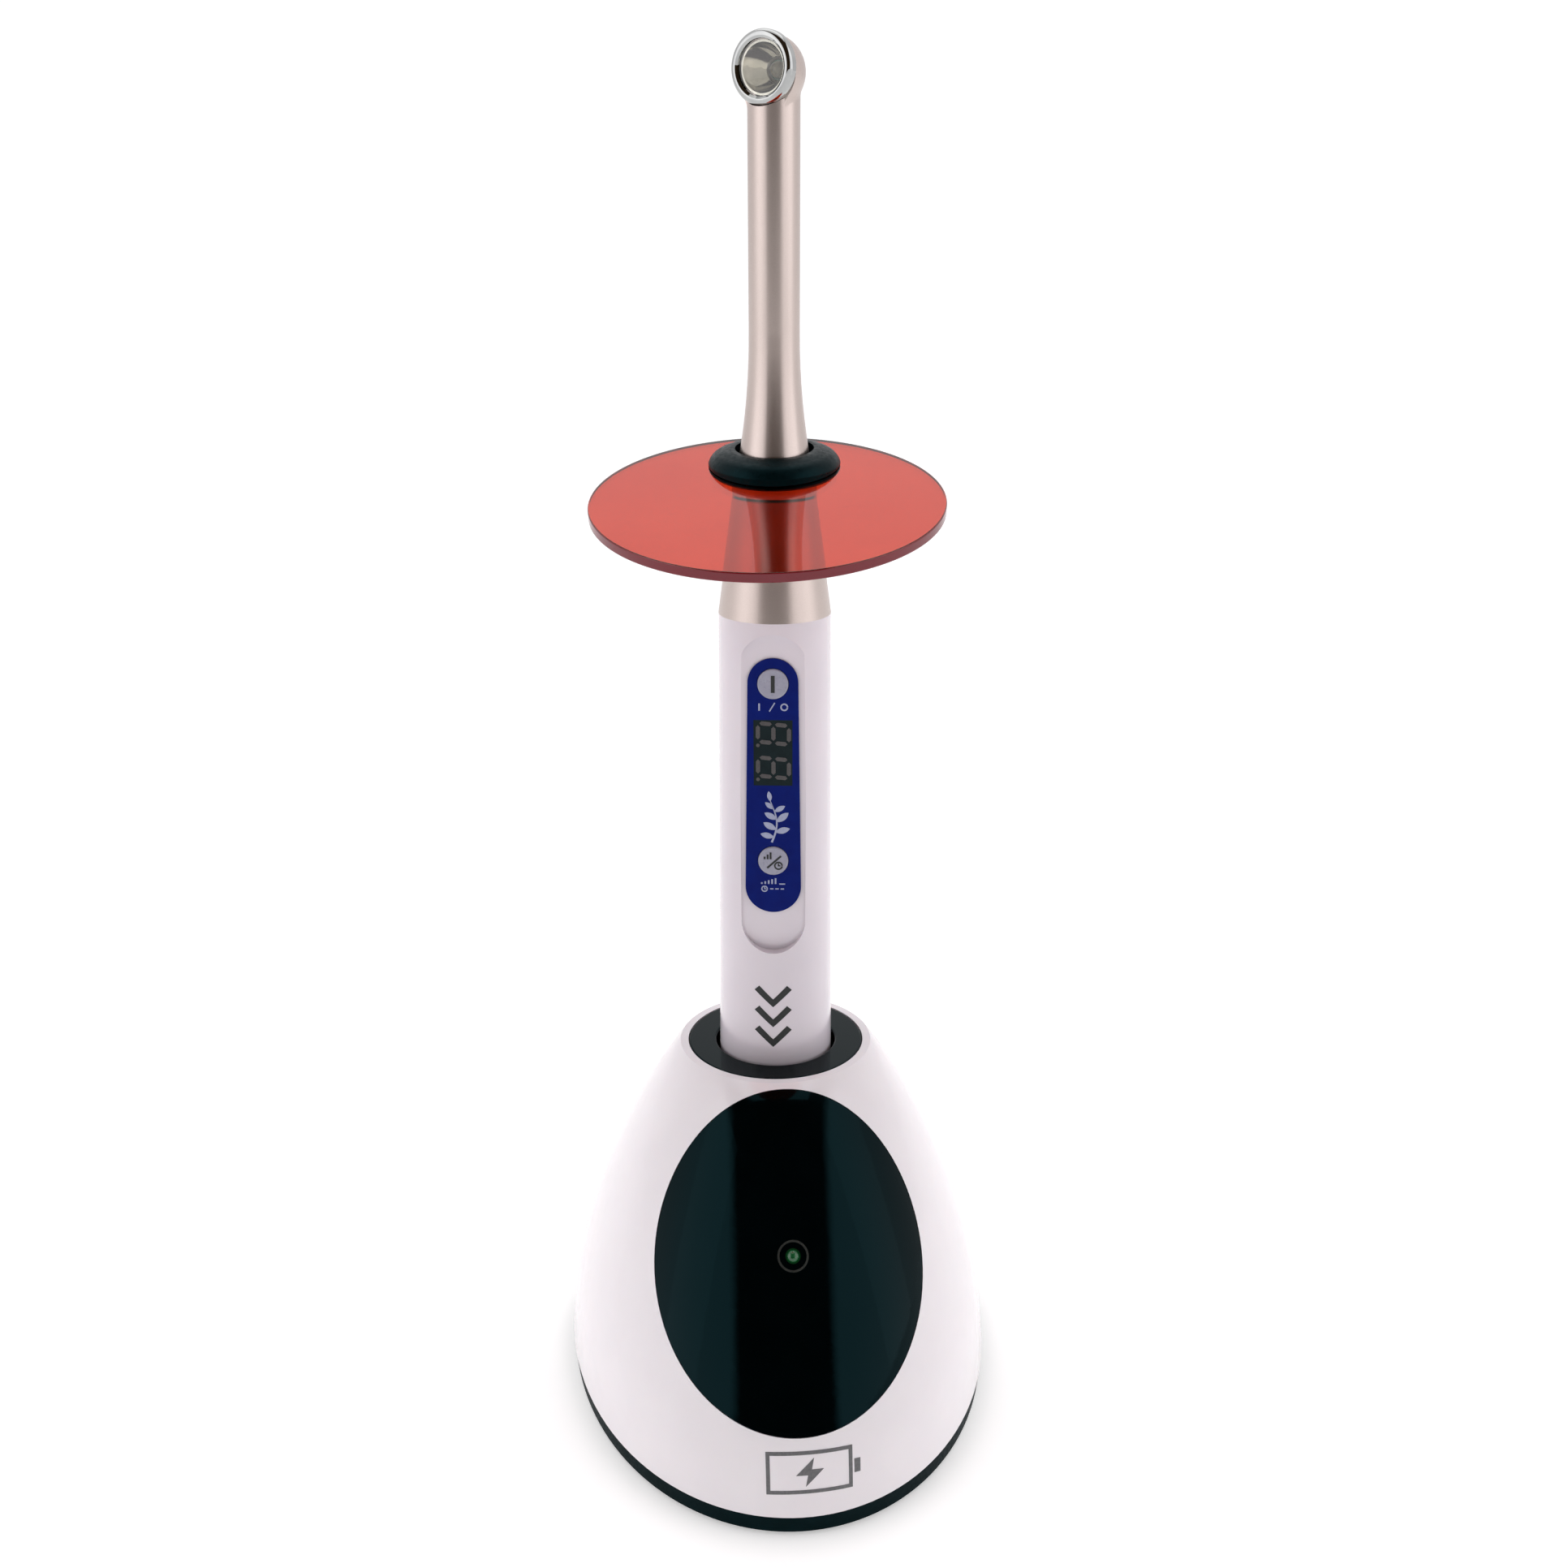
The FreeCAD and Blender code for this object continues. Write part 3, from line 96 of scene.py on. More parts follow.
def node_height(node):
    """Height of a node's middle above the handpiece's tail."""
    low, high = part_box(node)
    return (low[2] + high[2]) / 2 - SEAT


# ------------------------------------------------------------------ materials

def new_material(name, color, roughness, **sockets):
    """Principled material; extra sockets are given by their names with underscores for spaces."""
    material = bpy.data.materials.new(name)
    material.use_nodes = True
    shader = material.node_tree.nodes["Principled BSDF"]
    shader.inputs["Base Color"].default_value = (*color, 1)
    shader.inputs["Roughness"].default_value = roughness
    for socket, number in sockets.items():
        shader.inputs[socket.replace("_", " ")].default_value = number
    return material


def noise(material, size, detail):
    """Noise whose grain is about size across, in the object's own coordinates."""
    nodes = material.node_tree.nodes
    links = material.node_tree.links
    where = nodes.new("ShaderNodeTexCoord")
    scale = nodes.new("ShaderNodeMapping")
    scale.inputs["Scale"].default_value = (1 / size, 1 / size, 1 / size)
    texture = nodes.new("ShaderNodeTexNoise")
    texture.inputs["Scale"].default_value = 1.0
    texture.inputs["Detail"].default_value = detail
    links.new(where.outputs["Object"], scale.inputs["Vector"])
    links.new(scale.outputs["Vector"], texture.inputs["Vector"])
    return texture.outputs["Fac"]


def vary_color(material, source, low_color, high_color, low=0.3, high=0.7):
    """Base colour runs between two colours with a noise."""
    nodes = material.node_tree.nodes
    ramp = nodes.new("ShaderNodeValToRGB")
    ramp.color_ramp.elements[0].position = low
    ramp.color_ramp.elements[0].color = (*low_color, 1)
    ramp.color_ramp.elements[1].position = high
    ramp.color_ramp.elements[1].color = (*high_color, 1)
    links = material.node_tree.links
    links.new(source, ramp.inputs["Fac"])
    links.new(ramp.outputs["Color"], nodes["Principled BSDF"].inputs["Base Color"])


def vary_roughness(material, source, smooth, rough):
    nodes = material.node_tree.nodes
    span = nodes.new("ShaderNodeMapRange")
    span.inputs["From Min"].default_value = 0.3
    span.inputs["From Max"].default_value = 0.7
    span.inputs["To Min"].default_value = smooth
    span.inputs["To Max"].default_value = rough
    links = material.node_tree.links
    links.new(source, span.inputs["Value"])
    links.new(span.outputs["Result"], nodes["Principled BSDF"].inputs["Roughness"])


def add_bump(material, source, depth, strength=1.0):
    nodes = material.node_tree.nodes
    bump = nodes.new("ShaderNodeBump")
    bump.inputs["Distance"].default_value = depth
    bump.inputs["Strength"].default_value = strength
    links = material.node_tree.links
    links.new(source, bump.inputs["Height"])
    links.new(bump.outputs["Normal"], nodes["Principled BSDF"].inputs["Normal"])


def white_gloss(name="white_gloss_plastic", low_color=(0.86, 0.815, 0.85), high_color=(0.89, 0.845, 0.875)):
    material = new_material(name, high_color, 0.16,
                            Coat_Weight=0.35, Coat_Roughness=0.06, Subsurface_Weight=0.04,
                            Subsurface_Scale=0.002)
    vary_color(material, noise(material, 14 * MM, 4), low_color, high_color)
    vary_roughness(material, noise(material, 2.5 * MM, 5), 0.12, 0.2)
    add_bump(material, noise(material, 1.6 * MM, 2), 0.004 * MM, 0.5)
    return material


def black_gloss():
    material = new_material("black_gloss_plastic", (0.0003, 0.001, 0.0012), 0.05, Specular_IOR_Level=0.12,
                            Specular_Tint=TEAL_SHEEN)
    vary_color(material, noise(material, 9 * MM, 4), (0.0002, 0.0008, 0.001), (0.0004, 0.0014, 0.0018))
    vary_roughness(material, noise(material, 1.2 * MM, 6), 0.04, 0.09)
    add_bump(material, noise(material, 4 * MM, 2), 0.004 * MM, 0.35)
    return material


def black_plastic():
    material = new_material("black_matte_plastic", (0.002, 0.008, 0.009), 0.4, Specular_IOR_Level=0.04,
                            Specular_Tint=TEAL_SHEEN)
    vary_color(material, noise(material, 5 * MM, 4), (0.001, 0.006, 0.007), (0.002, 0.009, 0.011))
    vary_roughness(material, noise(material, 0.8 * MM, 4), 0.36, 0.55)
    add_bump(material, noise(material, 0.25 * MM, 3), 0.02 * MM, 0.5)
    return material


def rubber():
    material = new_material("black_rubber", (0.001, 0.004, 0.005), 0.36, Specular_IOR_Level=0.12,
                            Specular_Tint=TEAL_SHEEN)
    vary_color(material, noise(material, 2 * MM, 6), (0.0005, 0.003, 0.004), (0.001, 0.006, 0.007))
    vary_roughness(material, noise(material, 0.9 * MM, 5), 0.26, 0.48)
    add_bump(material, noise(material, 0.5 * MM, 4), 0.03 * MM, 0.4)
    return material


def champagne():
    """Bead-blasted, anodised metal: a satin sheen with a fine sparkling grain."""
    material = new_material("champagne_satin_metal", (0.55, 0.47, 0.435), 0.32, Metallic=1.0)
    grain = noise(material, 0.16 * MM, 2)
    vary_color(material, grain, (0.525, 0.447, 0.415), (0.575, 0.495, 0.46), 0.25, 0.75)
    vary_roughness(material, noise(material, 0.3 * MM, 3), 0.29, 0.35)
    add_bump(material, grain, 0.006 * MM, 0.5)
    return material


def chrome():
    material = new_material("polished_chrome", (0.44, 0.45, 0.44), 0.05, Metallic=1.0)
    vary_color(material, noise(material, 3 * MM, 4), (0.39, 0.4, 0.4), (0.48, 0.49, 0.48))
    vary_roughness(material, noise(material, 0.7 * MM, 5), 0.03, 0.09)
    return material


def mirror_bowl():
    material = new_material("metallised_mirror", (0.5, 0.47, 0.41), 0.06, Metallic=1.0)
    vary_color(material, noise(material, 2 * MM, 3), (0.42, 0.4, 0.34), (0.58, 0.55, 0.49))
    vary_roughness(material, noise(material, 0.5 * MM, 3), 0.04, 0.1)
    add_bump(material, noise(material, 1.2 * MM, 1), 0.01 * MM, 0.5)
    return material


def clear_glass():
    material = new_material("clear_lens_glass", (0.97, 0.985, 0.98), 0.0,
                            Transmission_Weight=1.0, IOR=1.5)
    vary_roughness(material, noise(material, 1.5 * MM, 3), 0.0, 0.015)
    return material


def dye_rim(material, axis, rim_color):
    """Deep, nearly opaque colour where a sheet's faces turn away from its axis, as light runs far there."""
    nodes = material.node_tree.nodes
    links = material.node_tree.links
    shader = nodes["Principled BSDF"]
    face_color = shader.inputs["Base Color"].links[0].from_socket
    where = nodes.new("ShaderNodeTexCoord")
    product = nodes.new("ShaderNodeVectorMath")
    product.operation = "DOT_PRODUCT"
    product.inputs[1].default_value = axis
    size = nodes.new("ShaderNodeMath")
    size.operation = "ABSOLUTE"
    share = nodes.new("ShaderNodeMapRange")
    share.inputs["From Min"].default_value = 0.5
    share.inputs["From Max"].default_value = 0.9
    mix = nodes.new("ShaderNodeMix")
    mix.data_type = "RGBA"
    mix.inputs[6].default_value = rim_color
    links.new(where.outputs["Normal"], product.inputs[0])
    links.new(product.outputs["Value"], size.inputs[0])
    links.new(size.outputs["Value"], share.inputs["Value"])
    links.new(share.outputs["Result"], mix.inputs["Factor"])
    links.new(face_color, mix.inputs[7])
    links.new(mix.outputs[2], shader.inputs["Base Color"])
    links.new(share.outputs["Result"], shader.inputs["Transmission Weight"])


def orange_screen():
    """Tinted transparent sheet; light is coloured each time it passes a face."""
    material = new_material("orange_tinted_acrylic", (0.61, 0.031, 0.003), 0.02,
                            Transmission_Weight=1.0, IOR=1.49)
    vary_color(material, noise(material, 25 * MM, 2), (0.59, 0.028, 0.002), (0.63, 0.035, 0.004))
    dye_rim(material, shield_axis(), (0.16, 0.005, 0.014, 1))
    vary_roughness(material, noise(material, 6 * MM, 4), 0.015, 0.05)
    return material


def overlay_blue():
    material = new_material("printed_blue_film", (0.0, 0.008, 0.13), 0.32, Specular_IOR_Level=0.08)
    vary_color(material, noise(material, 3 * MM, 5), (0.0, 0.006, 0.12), (0.0, 0.009, 0.145))
    vary_roughness(material, noise(material, 0.6 * MM, 4), 0.28, 0.4)
    add_bump(material, noise(material, 0.35 * MM, 3), 0.006 * MM, 0.5)
    return material


def button_grey():
    material = new_material("pale_key_plastic", (0.3, 0.3, 0.38), 0.3, Coat_Weight=0.1)
    vary_color(material, noise(material, 2 * MM, 4), (0.28, 0.28, 0.36), (0.33, 0.33, 0.41))
    vary_roughness(material, noise(material, 0.6 * MM, 4), 0.24, 0.38)
    add_bump(material, noise(material, 0.4 * MM, 2), 0.005 * MM, 0.5)
    return material


def print_ink(name, low_color, high_color):
    """Screen-printed ink: a flat coat with a slight tooth."""
    material = new_material(name, low_color, 0.45)
    vary_color(material, noise(material, 0.5 * MM, 4), low_color, high_color)
    vary_roughness(material, noise(material, 0.3 * MM, 3), 0.38, 0.55)
    return material


def dark_window():
    material = new_material("dark_display_window", (0.003, 0.01, 0.012), 0.12, Specular_IOR_Level=0.12)
    vary_color(material, noise(material, 2 * MM, 4), (0.002, 0.009, 0.011), (0.004, 0.013, 0.015))
    vary_roughness(material, noise(material, 0.5 * MM, 4), 0.1, 0.18)
    return material


def lamp_green():
    material = new_material("green_lamp_epoxy", (0.01, 0.1, 0.03), 0.12,
                            Transmission_Weight=0.3, Coat_Weight=0.3, Coat_Roughness=0.05,
                            Emission_Strength=0.02)
    vary_color(material, noise(material, 0.8 * MM, 2), (0.004, 0.06, 0.02), (0.015, 0.14, 0.045))
    material.node_tree.nodes["Principled BSDF"].inputs["Emission Color"].default_value = (0.1, 0.8, 0.2, 1)
    return material


def circuit_green():
    material = new_material("solder_mask", (0.01, 0.1, 0.04), 0.35)
    vary_color(material, noise(material, 1.5 * MM, 6), (0.006, 0.07, 0.03), (0.02, 0.15, 0.06))
    add_bump(material, noise(material, 0.6 * MM, 4), 0.02 * MM, 0.4)
    return material


def steel():
    material = new_material("plated_steel", (0.5, 0.5, 0.5), 0.3, Metallic=1.0)
    vary_color(material, noise(material, 1.5 * MM, 5), (0.42, 0.42, 0.43), (0.58, 0.58, 0.58))
    vary_roughness(material, noise(material, 0.5 * MM, 4), 0.22, 0.4)
    return material


def gold():
    material = new_material("gold_plate", (0.85, 0.6, 0.25), 0.2, Metallic=1.0)
    vary_color(material, noise(material, 1 * MM, 4), (0.78, 0.54, 0.2), (0.9, 0.68, 0.32))
    vary_roughness(material, noise(material, 0.4 * MM, 4), 0.14, 0.28)
    return material


def sleeve_blue():
    material = new_material("cell_sleeve", (0.03, 0.12, 0.35), 0.35)
    vary_color(material, noise(material, 4 * MM, 4), (0.02, 0.1, 0.3), (0.05, 0.16, 0.4))
    return material


def wire_jacket():
    material = new_material("wire_jacket", (0.4, 0.02, 0.015), 0.5)
    vary_color(material, noise(material, 1 * MM, 4), (0.34, 0.015, 0.01), (0.45, 0.03, 0.02))
    return material


def lamp_die():
    material = new_material("lamp_phosphor", (0.16, 0.14, 0.07), 0.3)
    vary_color(material, noise(material, 0.3 * MM, 3), (0.12, 0.1, 0.05), (0.2, 0.17, 0.09))
    return material


MATERIALS = {
    "white_gloss": white_gloss(),
    "black_gloss": black_gloss(),
    "black_plastic": black_plastic(),
    "rubber_black": rubber(),
    "champagne_metal": champagne(),
    "chrome": chrome(),
    "mirror_bowl": mirror_bowl(),
    "clear_glass": clear_glass(),
    "orange_screen": orange_screen(),
    "blue_overlay": overlay_blue(),
    "button_grey": button_grey(),
    "dark_window": dark_window(),
    "circuit_green": circuit_green(),
    "lamp_chip": lamp_die(),
    "steel": steel(),
    "gold_contact": gold(),
    "battery_wrap": sleeve_blue(),
    "wire_jacket": wire_jacket(),
    "green_lamp": lamp_green(),
}
# darker copy of the white gloss plastic for the handle shell: painted shade in the colour
HANDLE_WHITE_PAINTED_SHADE = white_gloss("handle_white_plastic_painted_shade", (0.69, 0.635, 0.69), (0.72, 0.66, 0.71))
PALE_INK = print_ink("pale_print", (0.3, 0.33, 0.48), (0.36, 0.39, 0.54))
BLACK_INK = print_ink("black_print", (0.004, 0.006, 0.006), (0.008, 0.011, 0.011))
GREY_INK = print_ink("grey_print", (0.11, 0.11, 0.115), (0.15, 0.15, 0.155))
DIM_INK = print_ink("dim_print", (0.014, 0.016, 0.014), (0.022, 0.024, 0.02))
DIM_SEGMENT = print_ink("unlit_segment", (0.05, 0.047, 0.048), (0.068, 0.062, 0.064))


def dress_frame():
    """Give every CAD node the material of its slot; the handle's white is darker, with painted shade in its
    colour.
    """
    for row in frame["record"]["subparts"]:
        node = NODES[row["node"]]
        for slot in node.material_slots:
            slot.material = MATERIALS[row["material_slot"]]
    # the handle shell gets the darker white, which is painted shade
    NODES["handle_shell"].material_slots[0].material = HANDLE_WHITE_PAINTED_SHADE


# ------------------------------------------------------------------ mesh helpers

def finish_piece(name, mesh, material, body):
    """Flat-shaded object from a bmesh, dressed, riding on a body."""
    data = bpy.data.meshes.new(name)
    bmesh.ops.recalc_face_normals(mesh, faces=mesh.faces)
    mesh.to_mesh(data)
    mesh.free()
    piece = bpy.data.objects.new(name, data)
    bpy.context.scene.collection.objects.link(piece)
    data.materials.append(material)
    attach(piece, body)
    return piece


def add_plate(mesh, outline, thickness):
    """Closed plate with a flat outline (x, y), from the drawing plane up."""
    low = [mesh.verts.new((x, y, 0)) for x, y in outline]
    high = [mesh.verts.new((x, y, thickness)) for x, y in outline]
    count = len(outline)
    mesh.faces.new(low[::-1])
    mesh.faces.new(high)
    for index in range(count):
        after = (index + 1) % count
        mesh.faces.new((low[index], low[after], high[after], high[index]))


def bar(start, end, width):
    """Outline of a straight bar with pointed-off ends, like a display segment."""
    start = Vector(start)
    end = Vector(end)
    along = (end - start).normalized()
    across = Vector((-along.y, along.x)) * width / 2
    tip = along * width / 2
    points = (start, start + tip + across, end - tip + across,
              end, end - tip - across, start + tip - across)
    return [tuple(point) for point in points]


def disc(center, radius, count=28):
    """Outline of a circle."""
    return [(center[0] + radius * math.cos(2 * math.pi * step / count),
             center[1] + radius * math.sin(2 * math.pi * step / count)) for step in range(count)]


def stroke(points, widths):
    """Outline of a brush stroke through points, with a width at each."""
    left = []
    right = []
    for index, point in enumerate(points):
        before = Vector(points[max(index - 1, 0)])
        after = Vector(points[min(index + 1, len(points) - 1)])
        along = (after - before).normalized()
        across = Vector((-along.y, along.x)) * widths[index] / 2
        left.append(tuple(Vector(point) + across))
        right.append(tuple(Vector(point) - across))
    return left + right[::-1]


def arc(center, radius, first, last, count=16):
    """Points along an arc, angles in degrees."""
    return [(center[0] + radius * math.cos(math.radians(first + (last - first) * step / count)),
             center[1] + radius * math.sin(math.radians(first + (last - first) * step / count)))
            for step in range(count + 1)]


def ring_stroke(center, radius, width, first=0, last=330, count=24):
    points = arc(center, radius, first, last, count)
    return stroke(points, [width] * len(points))


def leaf(root, direction, length, width, count=10):
    """Outline of a pointed leaf from its root, at an angle in degrees."""
    turn = math.radians(direction)
    along = Vector((math.cos(turn), math.sin(turn)))
    across = Vector((-along.y, along.x))
    edge = []
    for side in (1, -1):
        steps = range(count + 1) if side == 1 else range(count - 1, 0, -1)
        for step in steps:
            share = step / count
            bulge = side * width / 2 * math.sin(math.pi * share) ** 0.8
            edge.append(tuple(Vector(root) + along * length * share + across * bulge))
    return edge


def print_on(name, outlines, matrix, material, body):
    """Printed marks: thin plates placed by a matrix."""
    mesh = bmesh.new()
    for outline in outlines:
        add_plate(mesh, outline, INK)
    mesh.transform(matrix)
    return finish_piece(name, mesh, material, body)


def millimetres(outline):
    return [(x * MM, y * MM) for x, y in outline]


# ------------------------------------------------------------------ the control panel's marks

def segment_digit(center_x, center_y):
    """Seven bars and a dot of one digit that lies on its side, leaning a little."""
    half_tall = 2.05
    half_wide = 3.3
    lean = 0.09
    width = 0.9

    def at(along, across):
        """Along is the digit's own up, to the right here; across is its own right, downwards."""
        return (center_x + along, center_y - across - lean * along)

    gap = 0.16
    ups = (-half_wide, 0.0, half_wide)
    bars = []
    for up in ups:
        bars.append(bar(at(up, -half_tall + gap * 3), at(up, half_tall - gap * 3), width))
    for low, high in zip(ups, ups[1:]):
        for side in (-half_tall, half_tall):
            bars.append(bar(at(low + gap * 2, side), at(high - gap * 2, side), width))
    bars.append(disc(at(-half_wide, half_tall + 0.85), 0.4, 14))
    return [millimetres(outline) for outline in bars]


def display_digits():
    matrix = handle_frame(OVERLAY_FACE, node_height("display_window"))
    outlines = segment_digit(0.1, 4.3) + segment_digit(0.1, -3.3)
    print_on("display_segments", outlines, matrix, DIM_SEGMENT, "handpiece")


def key_marks():
    """The upright bar of the power key; bars, slash and clock on the mode key."""
    cap = OVERLAY_FACE + 0.35 * MM
    upright = [(-0.4, -1.85), (0.4, -1.85), (0.4, 1.85), (-0.4, 1.85)]
    print_on("power_key_mark", [millimetres(upright)],
             handle_frame(cap, node_height("power_button")), BLACK_INK, "power_key")
    marks = [stroke([(-1.3, -1.6), (1.7, 1.2)], [0.42, 0.42])]
    marks += [stroke([(x, 0.45), (x, 0.45 + tall)], [0.42, 0.42])
              for x, tall in ((-1.85, 0.6), (-1.2, 1.1), (-0.55, 1.6))]
    marks += clock_face(1.15, -1.05, 0.8, 0.34)
    print_on("mode_key_mark", [millimetres(outline) for outline in marks],
             handle_frame(cap, node_height("mode_button")), BLACK_INK, "mode_key")


def clock_face(x, y, radius, line):
    """Ring with two hands."""
    return [ring_stroke((x, y), radius, line, 0, 352),
            stroke([(x, y), (x, y + radius * 0.7)], [line * 0.8, line * 0.8]),
            stroke([(x - line * 0.4, y), (x + radius * 0.55, y)], [line * 0.8, line * 0.8])]


def panel_legends():
    """Plain signs where the words stood: line and circle under the power key, bars and clock below."""
    power = node_height("power_button")
    mode = node_height("mode_button")
    on_off = [stroke([(-2.9, -0.8), (-2.9, 0.8)], [0.36, 0.36]),
              stroke([(-0.75, -0.95), (0.4, 0.95)], [0.26, 0.26]),
              ring_stroke((2.4, 0), 0.68, 0.32, 0, 352)]
    print_on("power_legend", [millimetres(outline) for outline in on_off],
             handle_frame(OVERLAY_FACE, power - 5.05 * MM), PALE_INK, "handpiece")
    steps = [stroke([(x, -0.7), (x, -0.35 + tall)], [0.36, 0.36])
             for x, tall in ((-2.5, 0.0), (-1.75, 0.25), (-1.0, 0.5), (-0.25, 0.75), (0.5, 1.0))]
    steps.append(stroke([(1.3, -0.7), (2.6, -0.7)], [0.26, 0.26]))
    print_on("mode_legend", [millimetres(outline) for outline in steps],
             handle_frame(OVERLAY_FACE, mode - 4.75 * MM), PALE_INK, "handpiece")
    times = clock_face(-1.9, 0.0, 0.6, 0.26)
    times += [stroke([(x, 0), (x + 0.75, 0)], [0.26, 0.26]) for x in (-0.7, 0.45, 1.6)]
    print_on("time_legend", [millimetres(outline) for outline in times],
             handle_frame(OVERLAY_FACE, mode - 6.6 * MM), PALE_INK, "handpiece")


def plain_sprig():
    """A simple leafy stem, drawn for this model, between display and mode key."""
    joints = 16
    stem = [(math.sin(step / joints * 3.4) * 1.1 - 0.3, -5.4 + step / joints * 9.4)
            for step in range(joints + 1)]
    widths = [0.46 - 0.26 * step / joints for step in range(joints + 1)]
    outlines = [stroke(stem, widths)]
    leaves = ((2, 165, 3.0), (4, 15, 3.2), (5, 150, 3.2), (8, 40, 3.3), (9, 150, 3.0),
              (12, 30, 2.6), (13, 140, 2.4), (16, 100, 2.3))
    outlines += [leaf(stem[step], direction, length, length * 0.44) for step, direction, length in leaves]
    middle = (node_height("display_window") + node_height("mode_button")) / 2 - 2.6 * MM
    print_on("plain_sprig", [millimetres(outline) for outline in outlines],
             handle_frame(OVERLAY_FACE, middle), PALE_INK, "handpiece")


# ------------------------------------------------------------------ marks laid on the stand's curved skin

def skin_of(*names):
    """Search tree over the outer faces of CAD nodes, in world space."""
    points = []
    faces = []
    for name in names:
        node = NODES[name]
        first = len(points)
        points.extend(node.matrix_world @ vertex.co for vertex in node.data.vertices)
        faces.extend([first + index for index in polygon.vertices] for polygon in node.data.polygons)
    return BVHTree.FromPolygons(points, faces)


def lay_on(name, outlines, matrix, skin, material, body):
    """Thin plates that follow a curved skin: each point is thrown along the drawing's -Z onto it."""
    mesh = bmesh.new()
    for outline in outlines:
        mesh.faces.new([mesh.verts.new((x, y, 0)) for x, y in outline])
    bmesh.ops.triangulate(mesh, faces=mesh.faces)
    for _ in range(SKIN_PASSES):
        long_edges = [edge for edge in mesh.edges if edge.calc_length() > SKIN_GRAIN]
        if long_edges:
            bmesh.ops.subdivide_edges(mesh, edges=long_edges, cuts=1)
            bmesh.ops.triangulate(mesh, faces=mesh.faces)
    mesh.transform(matrix)
    throw = matrix.to_3x3() @ Vector((0, 0, -1))
    sunk = 0.3
    for vertex in mesh.verts:
        hit, normal, _, _ = skin.ray_cast(vertex.co, throw)
        if hit is None:
            raise RuntimeError(f"{name} misses its skin")
        vertex.co = hit - normal * INK * sunk
    lifted = bmesh.ops.extrude_face_region(mesh, geom=mesh.faces[:], use_keep_orig=True)
    for item in lifted["geom"]:
        if isinstance(item, bmesh.types.BMVert):
            _, normal, _, _ = skin.find_nearest(item.co)
            item.co += normal * INK * (1 + sunk)
    return finish_piece(name, mesh, material, body)


def stand_frame(turn, height, tilt):
    """Drawing plane in front of the socket axis, turned about it and tilted to look down."""
    around = Matrix.Rotation(math.radians(turn), 4, "Z")
    lean = Matrix.Rotation(math.radians(90 - tilt), 4, "X")
    away = Matrix.Translation((0, -DRAWING_DISTANCE, 0))
    return Matrix.Translation((0, AXIS_Y, height)) @ around @ away @ lean


def lamp_ring():
    """Printed ring round the charge lamp."""
    lamp_low, lamp_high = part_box("charge_lamp")
    middle = [(low + high) / 2 for low, high in zip(lamp_low, lamp_high)]
    lean = 40
    face = Matrix.Rotation(math.radians(90 - lean), 4, "X")
    away = Vector((0, -math.cos(math.radians(lean)), math.sin(math.radians(lean)))) * 30 * MM
    matrix = Matrix.Translation(Vector(middle) + away) @ face
    count = 40
    outer = arc((0, 0), 3.3, 0, 360, count)
    inner = arc((0, 0), 2.85, 0, 360, count)
    quads = [millimetres([outer[i], outer[i + 1], inner[i + 1], inner[i]]) for i in range(count)]
    lay_on("lamp_ring", quads, matrix, skin_of("front_panel"), DIM_INK, "stand")


def battery_sign():
    """Generic sign of a battery with a bolt, on the skirt under the black panel."""
    half_wide = 8.6
    half_tall = 4.2
    line = 0.8
    case = [(-half_wide, -half_tall), (half_wide, -half_tall),
            (half_wide, half_tall), (-half_wide, half_tall)]
    sides = []
    for first, second in zip(case, case[1:] + case[:1]):
        start = Vector(first)
        end = Vector(second)
        along = (end - start).normalized() * line / 2
        sides.append(stroke([tuple(start - along), tuple(end + along)], [line, line]))
    tip_start = half_wide + line
    tip_end = tip_start + 1.3
    tip_half = 1.5
    tip = [(tip_start, -tip_half), (tip_end, -tip_half), (tip_end, tip_half), (tip_start, tip_half)]
    bolt = [(0.9, 3.1), (-2.9, -0.6), (-0.4, -0.6), (-0.9, -3.1), (2.9, 0.6), (0.4, 0.6)]
    outlines = [millimetres(outline) for outline in sides + [tip, bolt]]
    lay_on("battery_sign", outlines, stand_frame(1.5, 22.7 * MM, 15), skin_of("stand_shell"),
           GREY_INK, "stand")


def insertion_arrows():
    """Three plain chevrons low on the handle that point down into the stand."""
    chevron = stroke([(-3.6, 1.9), (0, -1.7), (3.6, 1.9)], [1.5, 1.9, 1.5])
    outlines = [millimetres([(x, y - step * 4.9) for x, y in chevron]) for step in range(3)]
    lay_on("insertion_arrows", outlines, handle_frame(30 * MM, 68.5 * MM), skin_of("handle_shell"),
           BLACK_INK, "handpiece")


# ------------------------------------------------------------------ studio

def add_floor():
    """Pale table top, slightly glowing so that it reads white like a lit sweep."""
    mesh = bmesh.new()
    bmesh.ops.create_circle(mesh, cap_ends=True, segments=96, radius=FLOOR_RADIUS)
    data = bpy.data.meshes.new("floor")
    mesh.to_mesh(data)
    mesh.free()
    floor = bpy.data.objects.new("floor", data)
    floor.location.z = -FLOOR_GAP
    bpy.context.scene.collection.objects.link(floor)
    paper = new_material("white_sweep", (0.9, 0.9, 0.9), 0.7,
                         Emission_Strength=0.4, Specular_IOR_Level=0.2)
    paper.node_tree.nodes["Principled BSDF"].inputs["Emission Color"].default_value = (1, 1, 1, 1)
    vary_color(paper, noise(paper, 60 * MM, 2), (0.89, 0.89, 0.89), (0.91, 0.91, 0.91))
    data.materials.append(paper)


def add_softbox(name, place, target, size, power):
    """Soft area light at a place, aimed at a target, that the camera doesn't see."""
    light = bpy.data.lights.new(name, "AREA")
    light.shape = "RECTANGLE"
    light.size = size[0]
    light.size_y = size[1]
    light.energy = power
    lamp = bpy.data.objects.new(name, light)
    lamp.location = place
    away = Vector(target) - Vector(place)
    lamp.rotation_euler = away.to_track_quat("-Z", "Y").to_euler()
    lamp.visible_camera = False
    bpy.context.scene.collection.objects.link(lamp)


